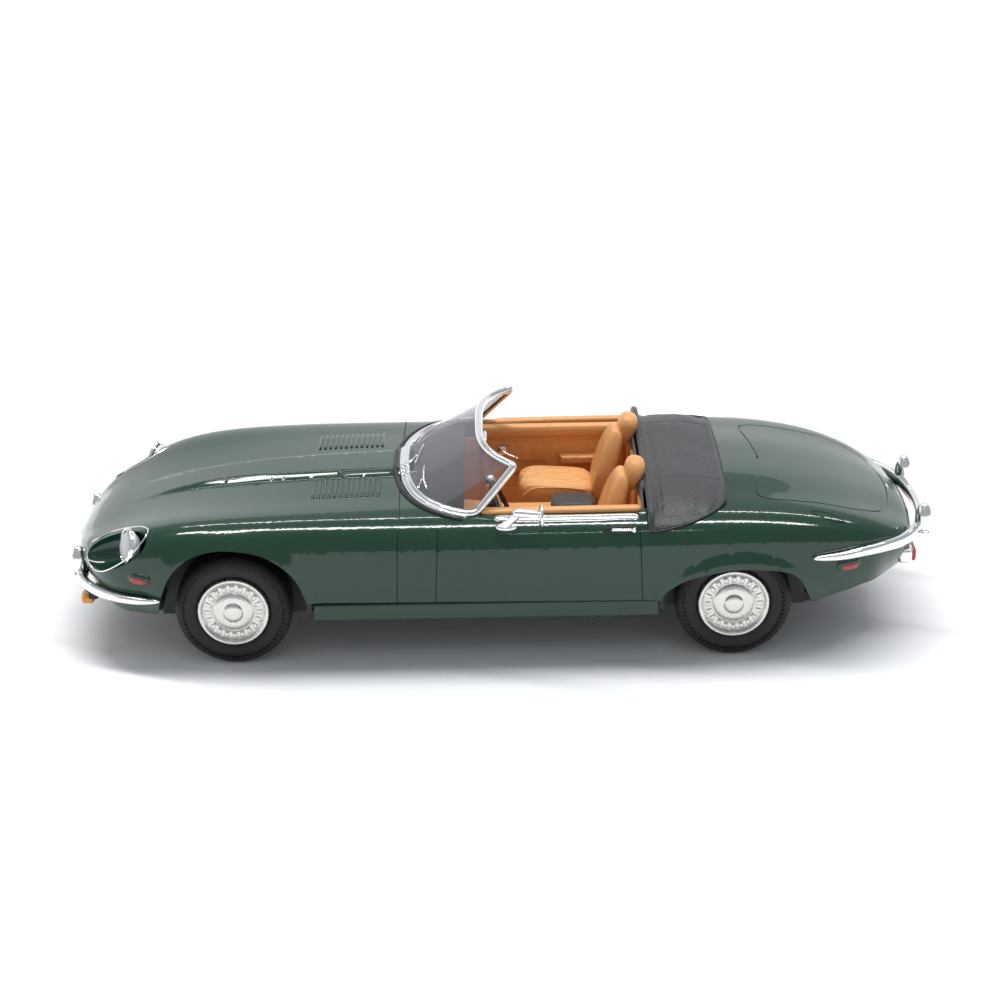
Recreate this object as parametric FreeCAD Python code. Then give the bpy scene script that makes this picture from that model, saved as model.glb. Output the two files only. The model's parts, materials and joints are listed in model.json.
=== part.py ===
import FreeCAD, Part
import math
import os

V = FreeCAD.Vector
X_DIR, Y_DIR, Z_DIR = V(1, 0, 0), V(0, 1, 0), V(0, 0, 1)

# --- driving dimensions, mm: a 1:43 roadster, nose toward -X, wheels on z = 0 ---
LENGTH = 108.9
WHEELBASE = 62.0
FRONT_AXLE_X = -33.35
REAR_AXLE_X = FRONT_AXLE_X + WHEELBASE
WALL = 0.9                      # cast wall of the body
AXLE_R = 0.8
AXLE_PLAY = 0.05                # running clearance in the base's bearing blocks
TYRE_R = 7.25
TYRE_BEAD_R = 4.5
TYRE_Y = (12.1, 16.4)           # inner and outer face of a tyre
HUBCAP_Y = 16.9
BASE_Z = (4.9, 6.0)             # underside and top of the base slab
RAIL_TOP = 7.0                  # side rails of the base, which carry the interior
FLOOR_Z = 7.8                   # top of the cockpit floor
WELL_FOOT_Z = 7.7                  # lower edge of the walls across a wheel well
SILL_Z = (6.3, 9.0)
DOOR_X = (-7.8, 17.0)
COCKPIT_Y = 15.2
COCKPIT_REAR_X = 28.3
SCREEN_FOOT = (-11.9, 10.8, 16.2)     # centre x, sweep back, half width
SCREEN_HEAD = (-2.45, 4.5, 13.65, 25.6)   # centre x, sweep back, half width, height
PEDESTAL_SCREW_R = 1.0          # two M2 holes for a display base
PEDESTAL_SCREW_X = (-12.0, 12.0)
BODY_SCREW_X = (-19.0, 43.5)

# Body stations from nose to tail:
# x, crown z, shoulder y, shoulder z, waist y, waist z, hem y, hem z
STATIONS = [
    (-53.7, 12.4, 4.2, 12.2, 5.6, 10.9, 4.2, 8.0),
    (-53.0, 13.1, 6.6, 12.9, 9.2, 11.0, 7.4, 7.4),
    (-51.4, 14.3, 9.6, 14.1, 12.7, 11.3, 10.8, 6.8),
    (-48.8, 15.7, 12.1, 15.7, 15.4, 11.7, 13.6, 6.5),
    (-45.3, 16.9, 14.0, 17.4, 17.3, 12.1, 15.7, 6.4),
    (-41.0, 18.0, 15.2, 18.6, 18.5, 12.4, 17.1, 6.4),
    (-36.0, 18.7, 15.9, 19.2, 19.2, 12.6, 17.9, 6.4),
    (-30.0, 19.3, 16.2, 19.45, 19.5, 12.7, 18.2, 6.4),
    (-22.0, 19.75, 16.3, 19.6, 19.6, 12.7, 18.3, 6.4),
    (-10.0, 20.1, 16.2, 19.6, 19.6, 12.7, 18.3, 6.4),
    (4.0, 20.3, 16.2, 19.65, 19.6, 12.7, 18.3, 6.4),
    (16.0, 20.5, 16.2, 19.7, 19.6, 12.7, 18.2, 6.4),
    (25.0, 20.6, 16.2, 19.7, 19.6, 12.9, 18.1, 6.4),
    (31.0, 20.4, 16.0, 19.6, 19.3, 13.1, 17.9, 6.4),
    (36.0, 19.9, 15.5, 19.2, 18.8, 13.2, 17.3, 6.4),
    (41.5, 18.8, 14.5, 18.3, 17.7, 13.2, 16.2, 6.6),
    (45.8, 17.4, 13.1, 16.9, 15.9, 13.0, 14.5, 7.0),
    (49.0, 15.9, 11.4, 15.4, 13.7, 12.6, 12.4, 7.8),
    (51.6, 14.5, 9.7, 14.0, 11.8, 12.2, 10.4, 8.8),
    (52.3, 13.4, 8.0, 13.0, 10.2, 12.0, 9.0, 9.4),
]
NOSE_X, TAIL_X = STATIONS[0][0], STATIONS[-1][0]
SKIN_ROWS, SKIN_COLUMNS = 96, 40

# Lower edge of the body seen from the side: valances, wheel arches, door bottoms.
FRONT_ARCH = [(-42.5, 7.5), (-41.9, 10.2), (-40.5, 13.4), (-38.2, 15.6), (-35.4, 16.6), (-32.4, 16.7),
              (-29.2, 16.1), (-26.6, 14.5), (-24.9, 12.4), (-23.9, 9.6)]
REAR_ARCH = [(19.3, 9.2), (20.4, 10.7), (22.4, 12.0), (25.2, 12.8), (28.6, 13.3), (32.2, 13.1),
             (35.0, 12.5), (36.6, 11.3), (37.5, 9.4), (38.2, 8.1)]


def smooth(low, high, value):
    t = min(1.0, max(0.0, (value - low) / (high - low)))
    return t * t * (3.0 - 2.0 * t)


# ---------------------------------------------------------------- surfaces
def clamped_knots(count, degree):
    knots = list(range(count - degree + 1))
    mults = [degree + 1] + [1] * (len(knots) - 2) + [degree + 1]
    return knots, mults


def bspline_surface(poles, degree_u=3, degree_v=3):
    surface = Part.BSplineSurface()
    u_knots, u_mults = clamped_knots(len(poles), degree_u)
    v_knots, v_mults = clamped_knots(len(poles[0]), degree_v)
    surface.buildFromPolesMultsKnots(poles, u_mults, v_mults, u_knots, v_knots,
                                     False, False, degree_u, degree_v)
    return surface


def smooth_curve(points):
    curve = Part.BSplineCurve()
    curve.interpolate([V(*p) for p in points])
    return curve.toShape()


def section(station, inset):
    """Half cross-section of the body, from the crown down to the hem, as (y, z)."""
    _, zc, ys, zs, yw, zw, yh, zh = station
    ys, yw, yh = ys - 0.6 * inset, yw - inset, yh - inset
    zc, zs, zh = zc - inset, zs - inset, zh - 3.0 * inset
    valley = 0.12
    return [(0.0, zc), (0.36 * ys, zc - 0.02), (0.70 * ys, 0.45 * zc + 0.55 * zs - valley),
            (0.98 * ys, zs + 0.10), (ys + 0.72 * (yw - ys), zs - 0.14 * (zs - zw)),
            (yw, 0.5 * (zs + zw)), (yw + 0.05, zw), (yw - 0.15, 0.5 * (zw + zh)), (yh, zh)]


def sculpt(p):
    """Bonnet bulge, lips of the wheel arches, and the lean and roundness of nose and tail."""
    x, y, z = p.x, p.y, p.z
    bulge_half = 3.1 + 1.1 * smooth(-46, -12, x)
    bulge = 0.62 * smooth(-47.5, -33, x) * (1 - smooth(-9, -4, x))
    if z > 15:
        z += bulge * (1 - smooth(0.72, 1.12, y / bulge_half))
    for cx, cz, rx, rz, flare in ((FRONT_AXLE_X, 7.2, 9.0, 9.2, 0.35), (REAR_AXLE_X + 0.2, 5.6, 9.5, 7.6, 0.5)):
        outside = (math.hypot((x - cx) / rx, (z - cz) / rz) - 1) * 0.5 * (rx + rz)
        y += flare * smooth(15.5, 18, y) * (1 - smooth(0.3, 2.6, outside)) * smooth(5, 7, z)
    nose, tail = 1 - smooth(NOSE_X, -47, x), smooth(45, TAIL_X, x)
    x += 0.30 * (12.4 - z) * nose - (0.30 * (13.4 - z) + 0.006 * y * y) * tail
    return V(x, y, z)


def body_solid(inset):
    """Closed solid under the body skin, shrunk by inset."""
    net = []
    for station in STATIONS:
        x = station[0] * (1 - inset / TAIL_X)
        half = section(station, inset)
        net.append([V(x, -y, z) for y, z in reversed(half[1:])] + [V(x, y, z) for y, z in half])
    base = bspline_surface(net)
    u_end, v_end = len(net) - 3, len(net[0]) - 3
    half_net = []
    for i in range(SKIN_ROWS):
        u = u_end * i / (SKIN_ROWS - 1)
        row = []
        for j in range(SKIN_COLUMNS):
            v = v_end * (0.5 + 0.5 * j / (SKIN_COLUMNS - 1))
            p = sculpt(base.value(u, v))
            row.append(V(p.x, 0 if j == 0 else p.y, p.z))
        half_net.append(row)
    nose, tail, hem = half_net[0], half_net[-1], [row[-1] for row in half_net]
    surfaces = [bspline_surface(half_net)]
    for edge in (nose, tail, hem):
        surfaces.append(bspline_surface([[p, V(p.x, 0, p.z)] for p in edge], 3, 1))
    faces = [surface.toShape() for surface in surfaces]
    faces += [face.mirror(V(0, 0, 0), Y_DIR) for face in faces]
    shell = Part.makeShell(faces)
    shell.sewShape()
    solid = Part.makeSolid(shell)
    if solid.Volume < 0:
        solid.reverse()
    return solid


# ---------------------------------------------------------------- small helpers
def box(x0, x1, y0, y1, z0, z1):
    return Part.makeBox(x1 - x0, y1 - y0, z1 - z0, V(x0, y0, z0))


def cylinder(radius, start, end):
    start, end = V(*start), V(*end)
    return Part.makeCylinder(radius, (end - start).Length, start, end - start)


def ellipsoid(centre, rx, ry, rz):
    matrix = FreeCAD.Matrix()
    matrix.scale(rx, ry, rz)
    ball = Part.makeSphere(1.0).transformGeometry(matrix)
    ball.translate(V(*centre))
    return ball


def prism_xz(points, y0, y1):
    wire = Part.makePolygon([V(x, y0, z) for x, z in points + points[:1]])
    return Part.Face(wire).extrude(V(0, y1 - y0, 0))


def mirrored(shape):
    return shape.mirror(V(0, 0, 0), Y_DIR)


def both_sides(shape):
    return Part.makeCompound([shape, mirrored(shape)])


def revolved_y(profile):
    """Ring or disc about the Y axis through the origin from (radius, y) points."""
    wire = Part.makePolygon([V(r, y, 0) for r, y in profile + profile[:1]])
    return Part.Face(wire).revolve(V(0, 0, 0), Y_DIR, 360)


def rounded(shape, radius):
    return shape.makeFillet(radius, shape.Edges)


def blade(points, thickness, z0, z1):
    """Upright strip whose outer face follows points (x, y) on the left side, mirrored to the right."""
    full = points + [(x, -y) for x, y in reversed(points[:-1])]
    inner = []
    for i, (x, y) in enumerate(full):
        before, after = full[max(0, i - 1)], full[min(len(full) - 1, i + 1)]
        dx, dy = after[0] - before[0], after[1] - before[1]
        size = math.hypot(dx, dy)
        inner.append((x + thickness * dy / size * TURN(points), y - thickness * dx / size * TURN(points)))
    outer_edge = smooth_curve([(x, y, z0) for x, y in full])
    inner_edge = smooth_curve([(x, y, z0) for x, y in inner])
    ends = [Part.makeLine(V(*full[k], z0), V(*inner[k], z0)) for k in (0, -1)]
    wire = Part.Wire(Part.sortEdges([outer_edge, inner_edge] + ends)[0])
    return Part.Face(wire).extrude(V(0, 0, z1 - z0))


def TURN(points):
    return 1.0 if points[-1][0] < points[0][0] else -1.0


def arch_edge(points):
    return smooth_curve([(x, -30, z) for x, z in points])


def side_cutter():
    """Everything under the lower edge of the body, as one prism through the car."""
    front, rear = arch_edge(FRONT_ARCH), arch_edge(REAR_ARCH)
    lines = [[(-58, -2), (-58, 8.9), (-53, 8.9), (-48.5, 7.6), (-46.5, 7.2), FRONT_ARCH[0]],
             [FRONT_ARCH[-1], REAR_ARCH[0]],
             [REAR_ARCH[-1], (39.0, 8.0), (44.5, 9.3), (50.5, 9.8), (58, 9.8), (58, -2), (-58, -2)]]
    edges = [front, rear]
    for line in lines:
        edges += [Part.makeLine(V(a[0], -30, a[1]), V(b[0], -30, b[1])) for a, b in zip(line, line[1:])]
    return Part.Face(Part.Wire(Part.sortEdges(edges)[0])).extrude(V(0, 60, 0))


# ---------------------------------------------------------------- windscreen
def screen_point(s, t, offset=0.0):
    """Point on the screen: s from -1 (left) to 1 (right), t from 0 (foot) to 1 (head)."""
    foot_x, foot_sweep, foot_half = SCREEN_FOOT
    head_x, head_sweep, head_half, head_z = SCREEN_HEAD
    reach = abs(s) ** 2.4
    back = 1 - (1 - min(1.0, reach)) ** (1 / 2.4)
    foot = V(foot_x + foot_sweep * back, foot_half * s, 20.3 - 1.5 * reach)
    head = V(head_x + head_sweep * abs(s) ** 2.2, head_half * s, head_z - 0.6 * s * s)
    p = foot + (head - foot) * t
    return V(p.x + offset * math.cos(0.9 * s), p.y * (1 - offset / foot_half * abs(math.sin(0.9 * s))), p.z)


def strip_between(row_a, row_b):
    """Ruled surface between two rows of poles."""
    degree = min(3, len(row_a) - 1)
    return bspline_surface([[a, b] for a, b in zip(row_a, row_b)], degree, 1).toShape()


def screen_wall(offsets, s_limit, t_range):
    """Curved wall between two offsets of the screen surface, from -s_limit to s_limit."""
    steps = 20
    s_values = [s_limit * math.sin(math.pi * (i / steps - 0.5)) for i in range(steps + 1)]
    rows = [[screen_point(s, t, offset) for s in s_values] for offset in offsets for t in t_range]
    front_low, front_high, back_low, back_high = rows
    faces = [strip_between(front_low, front_high), strip_between(back_low, back_high),
             strip_between(front_low, back_low), strip_between(front_high, back_high)]
    for end in (0, -1):
        faces.append(strip_between([front_low[end], front_high[end]], [back_low[end], back_high[end]]))
    shell = Part.makeShell(faces)
    shell.sewShape()
    solid = Part.makeSolid(shell)
    if solid.Volume < 0:
        solid.reverse()
    return solid


# ---------------------------------------------------------------- body and base
def cockpit_cutter():
    steps = 16
    front = []
    for i in range(steps + 1):
        s = math.sin(math.pi * (i / steps - 0.5)) * COCKPIT_Y / SCREEN_FOOT[2]
        p = screen_point(s, 0.0, 1.3)
        front.append((p.x, COCKPIT_Y * s * SCREEN_FOOT[2] / COCKPIT_Y))
    front_edge = smooth_curve([(x, y, 10.0) for x, y in front])
    rear = [(front[-1][0], COCKPIT_Y), (DOOR_X[1], COCKPIT_Y), (22.5, 14.9), (26.0, 13.0),
            (COCKPIT_REAR_X, 9.5)]
    rear += [(x, -y) for x, y in reversed(rear)]
    path = [V(front[-1][0], front[-1][1], 10)] + [V(x, y, 10) for x, y in rear]
    path.append(V(front[0][0], front[0][1], 10))
    lines = [Part.makeLine(a, b) for a, b in zip(path, path[1:]) if (a - b).Length > 1e-6]
    wire = Part.Wire(Part.sortEdges([front_edge] + lines)[0])
    return Part.Face(wire).extrude(V(0, 0, 20))


def lamp_scoop():
    """Left headlamp recess: a long oval hollow whose rear end holds the lamp."""
    scoop = ellipsoid((0, 0, 0), 5.2, 2.7, 2.35)
    scoop.rotate(V(0, 0, 0), Y_DIR, -22)
    scoop.rotate(V(0, 0, 0), Z_DIR, -26)
    scoop.translate(V(*LAMP_CENTRE) + V(-1.6, 0.2, -0.5))
    return scoop


LAMP_CENTRE = (-46.2, -14.6, 15.6)


def body_shell(outer, inner):
    shell = outer.cut(inner)
    shell = shell.cut(side_cutter())
    shell = shell.cut(cockpit_cutter())
    mouth = rounded(box(-58, -50, -6.2, 6.2, 9.6, 12.0), 0.9)
    shell = shell.cut(mouth)
    for scoop in (lamp_scoop(), mirrored(lamp_scoop())):
        shell = shell.cut(scoop)
    for x in BODY_SCREW_X:
        post = cylinder(2.0, (x, 0, BASE_Z[1]), (x, 0, 25)).common(outer)
        shell = shell.fuse(post)
        shell = shell.cut(cylinder(AXLE_R, (x, 0, BASE_Z[1] - 1), (x, 0, BASE_Z[1] + 6)))
    return shell


def wheel_wells(axle_x, top, room):
    """Walls inboard, ahead of and behind a pair of wheels, inside the body."""
    walls = []
    for side in (-1, 1):
        inner, outer = sorted((11.0 * side, 11.6 * side))
        walls.append(box(axle_x - 9.4, axle_x + 9.4, inner, outer, BASE_Z[0], top))
        inner, outer = sorted((11.0 * side, 18.5 * side))
        for x in (axle_x - 9.35, axle_x + 9.3):
            walls.append(box(x, x + 0.6, inner, outer, WELL_FOOT_Z, top - 1.0))
    joined = walls[0]
    for wall in walls[1:]:
        joined = joined.fuse(wall)
    return joined.common(room)


def base_plate(room):
    z0, z1 = BASE_Z
    slab = box(-41.0, 40.0, -11.2, 11.2, z0, z1)
    slab = slab.fuse(box(-46.0, 46.5, -4.0, 4.0, z0, z1)).fuse(box(-23.4, 18.7, -13.0, 13.0, z0, z1))
    for side in (-1, 1):
        inner, outer = sorted((12.0 * side, 16.5 * side))
        slab = slab.fuse(box(-23.2, 18.6, inner, outer, z1, RAIL_TOP))
        inner, outer = sorted((15.6 * side, 16.5 * side))
        slab = slab.fuse(box(-23.2, 18.6, inner, outer, z1, 8.8))
    slab = slab.fuse(wheel_wells(FRONT_AXLE_X, 17.0, room)).fuse(wheel_wells(REAR_AXLE_X, 15.0, room))
    for axle_x in (FRONT_AXLE_X, REAR_AXLE_X):
        for y in (-10.6, 8.8):
            slab = slab.fuse(box(axle_x - 1.9, axle_x + 1.9, y, y + 1.8, z0, TYRE_R + 1.9))
        slab = slab.cut(cylinder(AXLE_R + AXLE_PLAY, (axle_x, -12, TYRE_R), (axle_x, 12, TYRE_R)))
    for x in BODY_SCREW_X:
        slab = slab.cut(cylinder(1.0, (x, 0, z0 - 1), (x, 0, z1 + 1)))
    for x in PEDESTAL_SCREW_X:
        slab = slab.fuse(cylinder(2.2, (x, 0, z0), (x, 0, z1 + 0.8)))
        slab = slab.cut(cylinder(PEDESTAL_SCREW_R, (x, 0, z0 - 1), (x, 0, z1 + 2)))
    return slab


def base_screws():
    screws = []
    for x in BODY_SCREW_X:
        head = cylinder(1.7, (x, 0, BASE_Z[0] - 0.8), (x, 0, BASE_Z[0]))
        screws.append(head.fuse(cylinder(AXLE_R, (x, 0, BASE_Z[0] - 0.1), (x, 0, BASE_Z[1] + 4.5))))
    return Part.makeCompound(screws)


def sill():
    z0, z1 = SILL_Z
    profile = [V(-23.2, -16.5, z0), V(-23.2, -17.3, z0), V(-23.2, -17.75, z0 + 0.9),
               V(-23.2, -17.75, z1), V(-23.2, -16.5, z1)]
    face = Part.Face(Part.makePolygon(profile + profile[:1]))
    return face.extrude(V(42.4, 0, 0))


# ---------------------------------------------------------------- cockpit
def interior_tub():
    tub = box(-9.4, 17.6, -15.1, 15.1, RAIL_TOP, 19.2).cut(box(-8.7, 17.0, -14.4, 14.4, FLOOR_Z, 30))
    return tub.cut(box(-12, -2, -20, 20, 17.6, 30))


def seat():
    """One moulded bucket seat on the left: cushion, leaning back and head rest."""
    cushion = box(3.0, 12.0, -11.3, -3.7, 10.4, 14.6)
    plinth = box(4.0, 12.5, -10.6, -4.4, FLOOR_Z, 10.4)
    back = prism_xz([(11.4, 10.4), (15.0, 10.4), (17.0, 21.6), (15.4, 21.9), (11.6, 14.6)], -11.0, -4.0)
    head = rounded(box(15.0, 18.4, -9.7, -5.7, 20.9, 23.7), 0.8)
    behind_cover = box(17.0, 20, -12, -3, 5, 21.9)
    return cushion.fuse(back).fuse(plinth).fuse(head).cut(behind_cover)


def door_card():
    card = box(-2.5, 17.0, -14.4, -13.9, FLOOR_Z, 19.4)
    roll = cylinder(0.55, (-2.5, -13.95, 18.75), (17.0, -13.95, 18.75))
    rest = rounded(box(8.2, 13.0, -14.3, -12.2, 14.4, 15.5), 0.45)
    pull = rounded(box(1.9, 6.2, -14.3, -13.1, 12.6, 13.4), 0.3)
    winder = cylinder(0.7, (0.4, -13.95, 16.1), (0.4, -13.2, 16.1))
    return card.fuse(roll).fuse(rest).fuse(pull).fuse(winder).cut(box(-3, 18, -16, -14.4, 5, 25))


def dashboard(cutter):
    top = cutter.common(box(-12, -4.6, -20, 20, 17.6, 19.35))
    front = box(-8.0, -5.2, -14.3, 14.3, 14.0, 17.6)
    return top.fuse(front)


def steering_wheel():
    rim = Part.makeTorus(4.2, 0.36)
    hub = Part.makeCylinder(1.0, 0.7, V(0, 0, -0.6))
    wheel = rim.fuse(hub)
    for angle in (0, 120, 240):
        spoke = box(0.5, 4.1, -0.3, 0.3, -0.25, 0.15)
        spoke.rotate(V(0, 0, 0), Z_DIR, angle + 30)
        wheel = wheel.fuse(spoke)
    wheel.rotate(V(0, 0, 0), Y_DIR, STEERING_RAKE)
    wheel.translate(V(*STEERING_CENTRE))
    return wheel


STEERING_CENTRE = (0.5, -7.6, 16.0)
STEERING_RAKE = 68


def steering_column():
    rake = math.radians(STEERING_RAKE)
    axis = V(math.sin(rake), 0, math.cos(rake))
    tip = V(*STEERING_CENTRE) - axis * 0.6
    return Part.makeCylinder(0.55, 5.4, tip - axis * 5.4, axis)


def centre_console():
    outline = [(-8.7, FLOOR_Z), (16.2, FLOOR_Z), (11.9, 13.3), (0.6, 13.3), (-5.2, 14.0), (-8.7, 14.0)]
    return prism_xz(outline, -2.3, 2.3)


def armrest_box():
    return rounded(box(6.6, 12.1, -2.0, 2.0, 13.3, 14.7), 0.35)


def gear_lever():
    stalk = cylinder(0.35, (-1.0, 0, 13.2), (-1.25, 0, 17.0))
    boot = Part.makeCone(1.2, 0.5, 1.9, V(-1.0, 0, 13.0))
    return stalk.fuse(boot).fuse(Part.makeSphere(0.75, V(-1.3, 0, 17.4)))


def hood_cover(outer, shell):
    """Folded hood under its cover, lapping over the body round the back of the cockpit."""
    xs = (17.8, 20.5, 24.0, 27.0, 28.9)
    halves = (18.9, 18.75, 18.0, 16.4, 13.6)
    crowns = (21.1, 21.45, 21.5, 21.2, 20.75)
    loops = []
    for x, half, crown in zip(xs, halves, crowns):
        arc = [(x, half * s, crown - (crown - 18.0) * abs(s) ** 5) for s in
               (-1, -0.97, -0.9, -0.75, -0.4, 0, 0.4, 0.75, 0.9, 0.97, 1)]
        edge = smooth_curve(arc)
        low = [V(x, half, 18.0), V(x, half, 17.0), V(x, -half, 17.0), V(x, -half, 18.0)]
        lines = [Part.makeLine(a, b) for a, b in zip(low, low[1:])]
        loops.append(Part.Wire(Part.sortEdges([edge] + lines)[0]))
    cover = Part.makeLoft(loops, True, False)
    cover = cover.cut(outer.cut(cockpit_cutter()))
    cover = cover.cut(box(0, 40, -30, 30, 10, 19.3).common(cockpit_cutter()))
    return max(cover.Solids, key=lambda solid: solid.Volume)


# ---------------------------------------------------------------- bright trim and lamps
def windscreen():
    frame = screen_wall((-0.45, 0.45), 1.0, (-0.06, 1))
    pane_hole = screen_wall((-1.5, 1.5), 0.94, (0.12, 0.88))
    glass = screen_wall((-0.15, 0.15), 0.94, (0.12, 0.88))
    return frame.cut(pane_hole), glass


def interior_mirror():
    head = rounded(box(-2.2, -1.6, -1.9, 1.9, 22.4, 23.8), 0.25)
    return head.fuse(box(-2.6, -2.1, -0.3, 0.3, 23.2, 24.2))


def wipers():
    arms = []
    for s in (-0.5, 0.0, 0.5):
        start, end = screen_point(s, 0.12, -0.75), screen_point(s + 0.28, 0.5, -0.6)
        arms.append(Part.makeCylinder(0.16, (end - start).Length, start, end - start))
    return Part.makeCompound(arms)


def headlamp_bowl():
    """Silvered lamp body sunk into the rear end of the scoop."""
    bowl = ellipsoid((LAMP_CENTRE[0] + 0.7, LAMP_CENTRE[1], LAMP_CENTRE[2]), 2.2, 2.2, 2.2)
    return bowl.cut(box(-60, LAMP_CENTRE[0] - 0.3, -30, 0, 0, 30))


def headlamp_lens():
    x, y, z = LAMP_CENTRE
    lens = ellipsoid((x - 0.3, y, z), 0.75, 1.95, 1.95)
    return lens.common(box(-60, x - 0.3, -30, 0, 0, 30))


def headlamp_rim():
    x, y, z = LAMP_CENTRE
    ring = cylinder(2.3, (x - 0.6, y, z), (x - 0.3, y, z))
    return ring.cut(cylinder(1.96, (x - 1, y, z), (x, y, z)))


FRONT_BUMPER = [(-42.2, -18.5), (-45.0, -17.5), (-48.0, -16.0), (-51.0, -13.3), (-53.2, -9.2),
                (-54.0, -4.6), (-54.15, 0.0)]
REAR_BUMPER = [(38.2, -18.95), (41.4, -18.25), (44.2, -17.2), (47.2, -15.2), (50.0, -12.3), (52.3, -8.6),
               (53.3, -4.6), (53.6, 0.0)]


def overrider(x_tip, y, z, nose_sign):
    bar = ellipsoid((x_tip - nose_sign * 1.15, y, z), 1.15, 1.25, 2.15)
    return bar


def side_marker(x, y, z, angle):
    marker = rounded(box(-1.25, 1.25, -0.9, 0.9, -0.4, 0.4), 0.2)
    marker.rotate(V(0, 0, 0), Z_DIR, angle)
    marker.translate(V(x, y, z))
    return marker


def tail_lamp():
    return rounded(box(50.2, 52.1, -11.0, -6.9, 9.9, 11.6), 0.35)


def door_mirror():
    foot = ellipsoid((0.6, -18.3, 19.0), 1.5, 0.8, 0.9)
    stem = cylinder(0.4, (0.9, -18.5, 19.2), (2.4, -19.55, 21.2))
    arm = Part.makeCone(0.5, 0.75, 3.2, V(1.5, -19.55, 21.2), X_DIR)
    return foot.fuse(stem).fuse(arm).fuse(cylinder(1.42, (4.6, -19.6, 20.85), (5.1, -19.6, 20.85)))


def door_strip():
    return box(-1.0, 16.8, -17.75, -16.35, 18.0, 19.75)


def door_handle():
    return ellipsoid((14.7, -18.55, 18.3), 1.75, 0.65, 0.55)


def grille():
    bars = box(-52.6, -52.0, -6.0, 6.0, 9.7, 11.9)
    for z in (10.15, 10.7, 11.25):
        bars = bars.cut(box(-53, -51, -5.7, -0.5, z, z + 0.3)).cut(box(-53, -51, 0.5, 5.7, z, z + 0.3))
    return bars.fuse(box(-52.9, -52.0, -0.9, 0.9, 9.7, 11.9))


def exhaust_pipes():
    hanger = box(45.7, 46.5, -2.0, 2.0, BASE_Z[1], 6.8)
    for y in (-1.2, 1.2):
        hanger = hanger.fuse(cylinder(0.7, (45.7, y, 7.2), (50.3, y, 7.2)))
        hanger = hanger.cut(cylinder(0.5, (48.0, y, 7.2), (51.0, y, 7.2)))
    return hanger


# ---------------------------------------------------------------- wheels
def at_axle(shape, axle_x):
    shape.translate(V(axle_x, 0, TYRE_R))
    return shape


def axle(axle_x):
    return cylinder(AXLE_R, (axle_x, -HUBCAP_Y + 1.0, TYRE_R), (axle_x, HUBCAP_Y - 1.0, TYRE_R))


def hub(axle_x):
    """Plated wheel disc with its cap, on the left."""
    profile = [(AXLE_R, -12.6), (TYRE_BEAD_R, -12.6), (TYRE_BEAD_R, -16.3), (4.3, -16.6), (3.9, -16.75),
               (3.6, -16.45), (2.7, -16.5), (2.3, -16.75), (1.4, -16.85), (1.1, -16.9), (0, -16.9),
               (0, -15.9), (AXLE_R, -15.9)]
    return at_axle(revolved_y(profile), axle_x)


def tyre(axle_x):
    inner, outer = -TYRE_Y[0], -TYRE_Y[1]
    profile = [(TYRE_BEAD_R, inner - 0.3), (5.2, inner), (6.5, inner), (7.05, inner - 0.35), (TYRE_R, inner - 0.9),
               (TYRE_R, outer + 0.9), (7.05, outer + 0.35), (6.5, outer), (5.2, outer), (TYRE_BEAD_R, outer + 0.2)]
    return at_axle(revolved_y(profile), axle_x)


# ---------------------------------------------------------------- assembly
def build():
    outer, inner, room = body_solid(0.0), body_solid(WALL), body_solid(WALL + 0.15)
    cutter = cockpit_cutter()
    nodes = {"body_shell": body_shell(outer, inner)}
    shell = nodes["body_shell"]

    def pair(name, shape):
        nodes[name + "_left"] = shape
        nodes[name + "_right"] = mirrored(shape)

    nodes["base_plate"] = base_plate(room)
    nodes["base_screws"] = base_screws()
    pair("sill", sill())
    nodes["interior_tub"] = interior_tub()
    nodes["centre_console"] = centre_console()
    nodes["armrest_box"] = armrest_box()
    nodes["gear_lever"] = gear_lever().cut(nodes["centre_console"])
    nodes["dashboard"] = dashboard(cutter)
    nodes["steering_column"] = steering_column().cut(nodes["dashboard"])
    nodes["steering_wheel"] = steering_wheel()
    pair("seat", seat())
    pair("door_card", door_card())
    nodes["hood_cover"] = hood_cover(outer, shell)
    frame, glass = windscreen()
    nodes["windscreen_frame"] = frame.cut(outer)
    nodes["windscreen_glass"] = glass
    nodes["interior_mirror"] = interior_mirror().cut(frame).cut(glass)
    nodes["wipers"] = wipers()
    pair("headlamp_bowl", headlamp_bowl().cut(shell))
    pair("headlamp_lens", headlamp_lens().cut(shell))
    pair("headlamp_rim", headlamp_rim().cut(shell))
    nodes["front_bumper"] = blade(FRONT_BUMPER, 1.0, 8.9, 9.9).cut(outer)
    nodes["rear_bumper"] = blade(REAR_BUMPER, 1.1, 13.2, 14.4).cut(outer)
    half = LENGTH / 2
    pair("front_overrider", overrider(-half, -8.6, 11.2, -1).cut(nodes["front_bumper"]).cut(outer))
    pair("rear_overrider", overrider(half, -8.1, 14.4, 1).cut(nodes["rear_bumper"]).cut(outer))
    indicator = rounded(box(-52.8, -50.8, -11.4, -8.9, 7.3, 8.6), 0.35).cut(outer)
    nodes["front_indicators"] = both_sides(indicator)
    nodes["front_markers"] = both_sides(side_marker(-44.6, -17.2, 12.4, -25).cut(outer))
    nodes["rear_markers"] = both_sides(side_marker(42.6, -17.0, 12.3, 22).cut(outer))
    pair("tail_lamp", tail_lamp().cut(outer))
    nodes["door_mirror"] = door_mirror().cut(outer)
    strip = door_strip().cut(outer)
    nodes["door_strip_left"] = strip.cut(nodes["door_mirror"])
    nodes["door_strip_right"] = mirrored(strip)
    pair("door_handle", door_handle().cut(outer))
    nodes["grille"] = grille().cut(shell)
    nodes["exhaust_pipes"] = exhaust_pipes()
    for end, axle_x in (("front", FRONT_AXLE_X), ("rear", REAR_AXLE_X)):
        nodes[end + "_axle"] = axle(axle_x)
        pair(end + "_hub", hub(axle_x))
        pair(end + "_tyre", tyre(axle_x))
    return nodes


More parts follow.
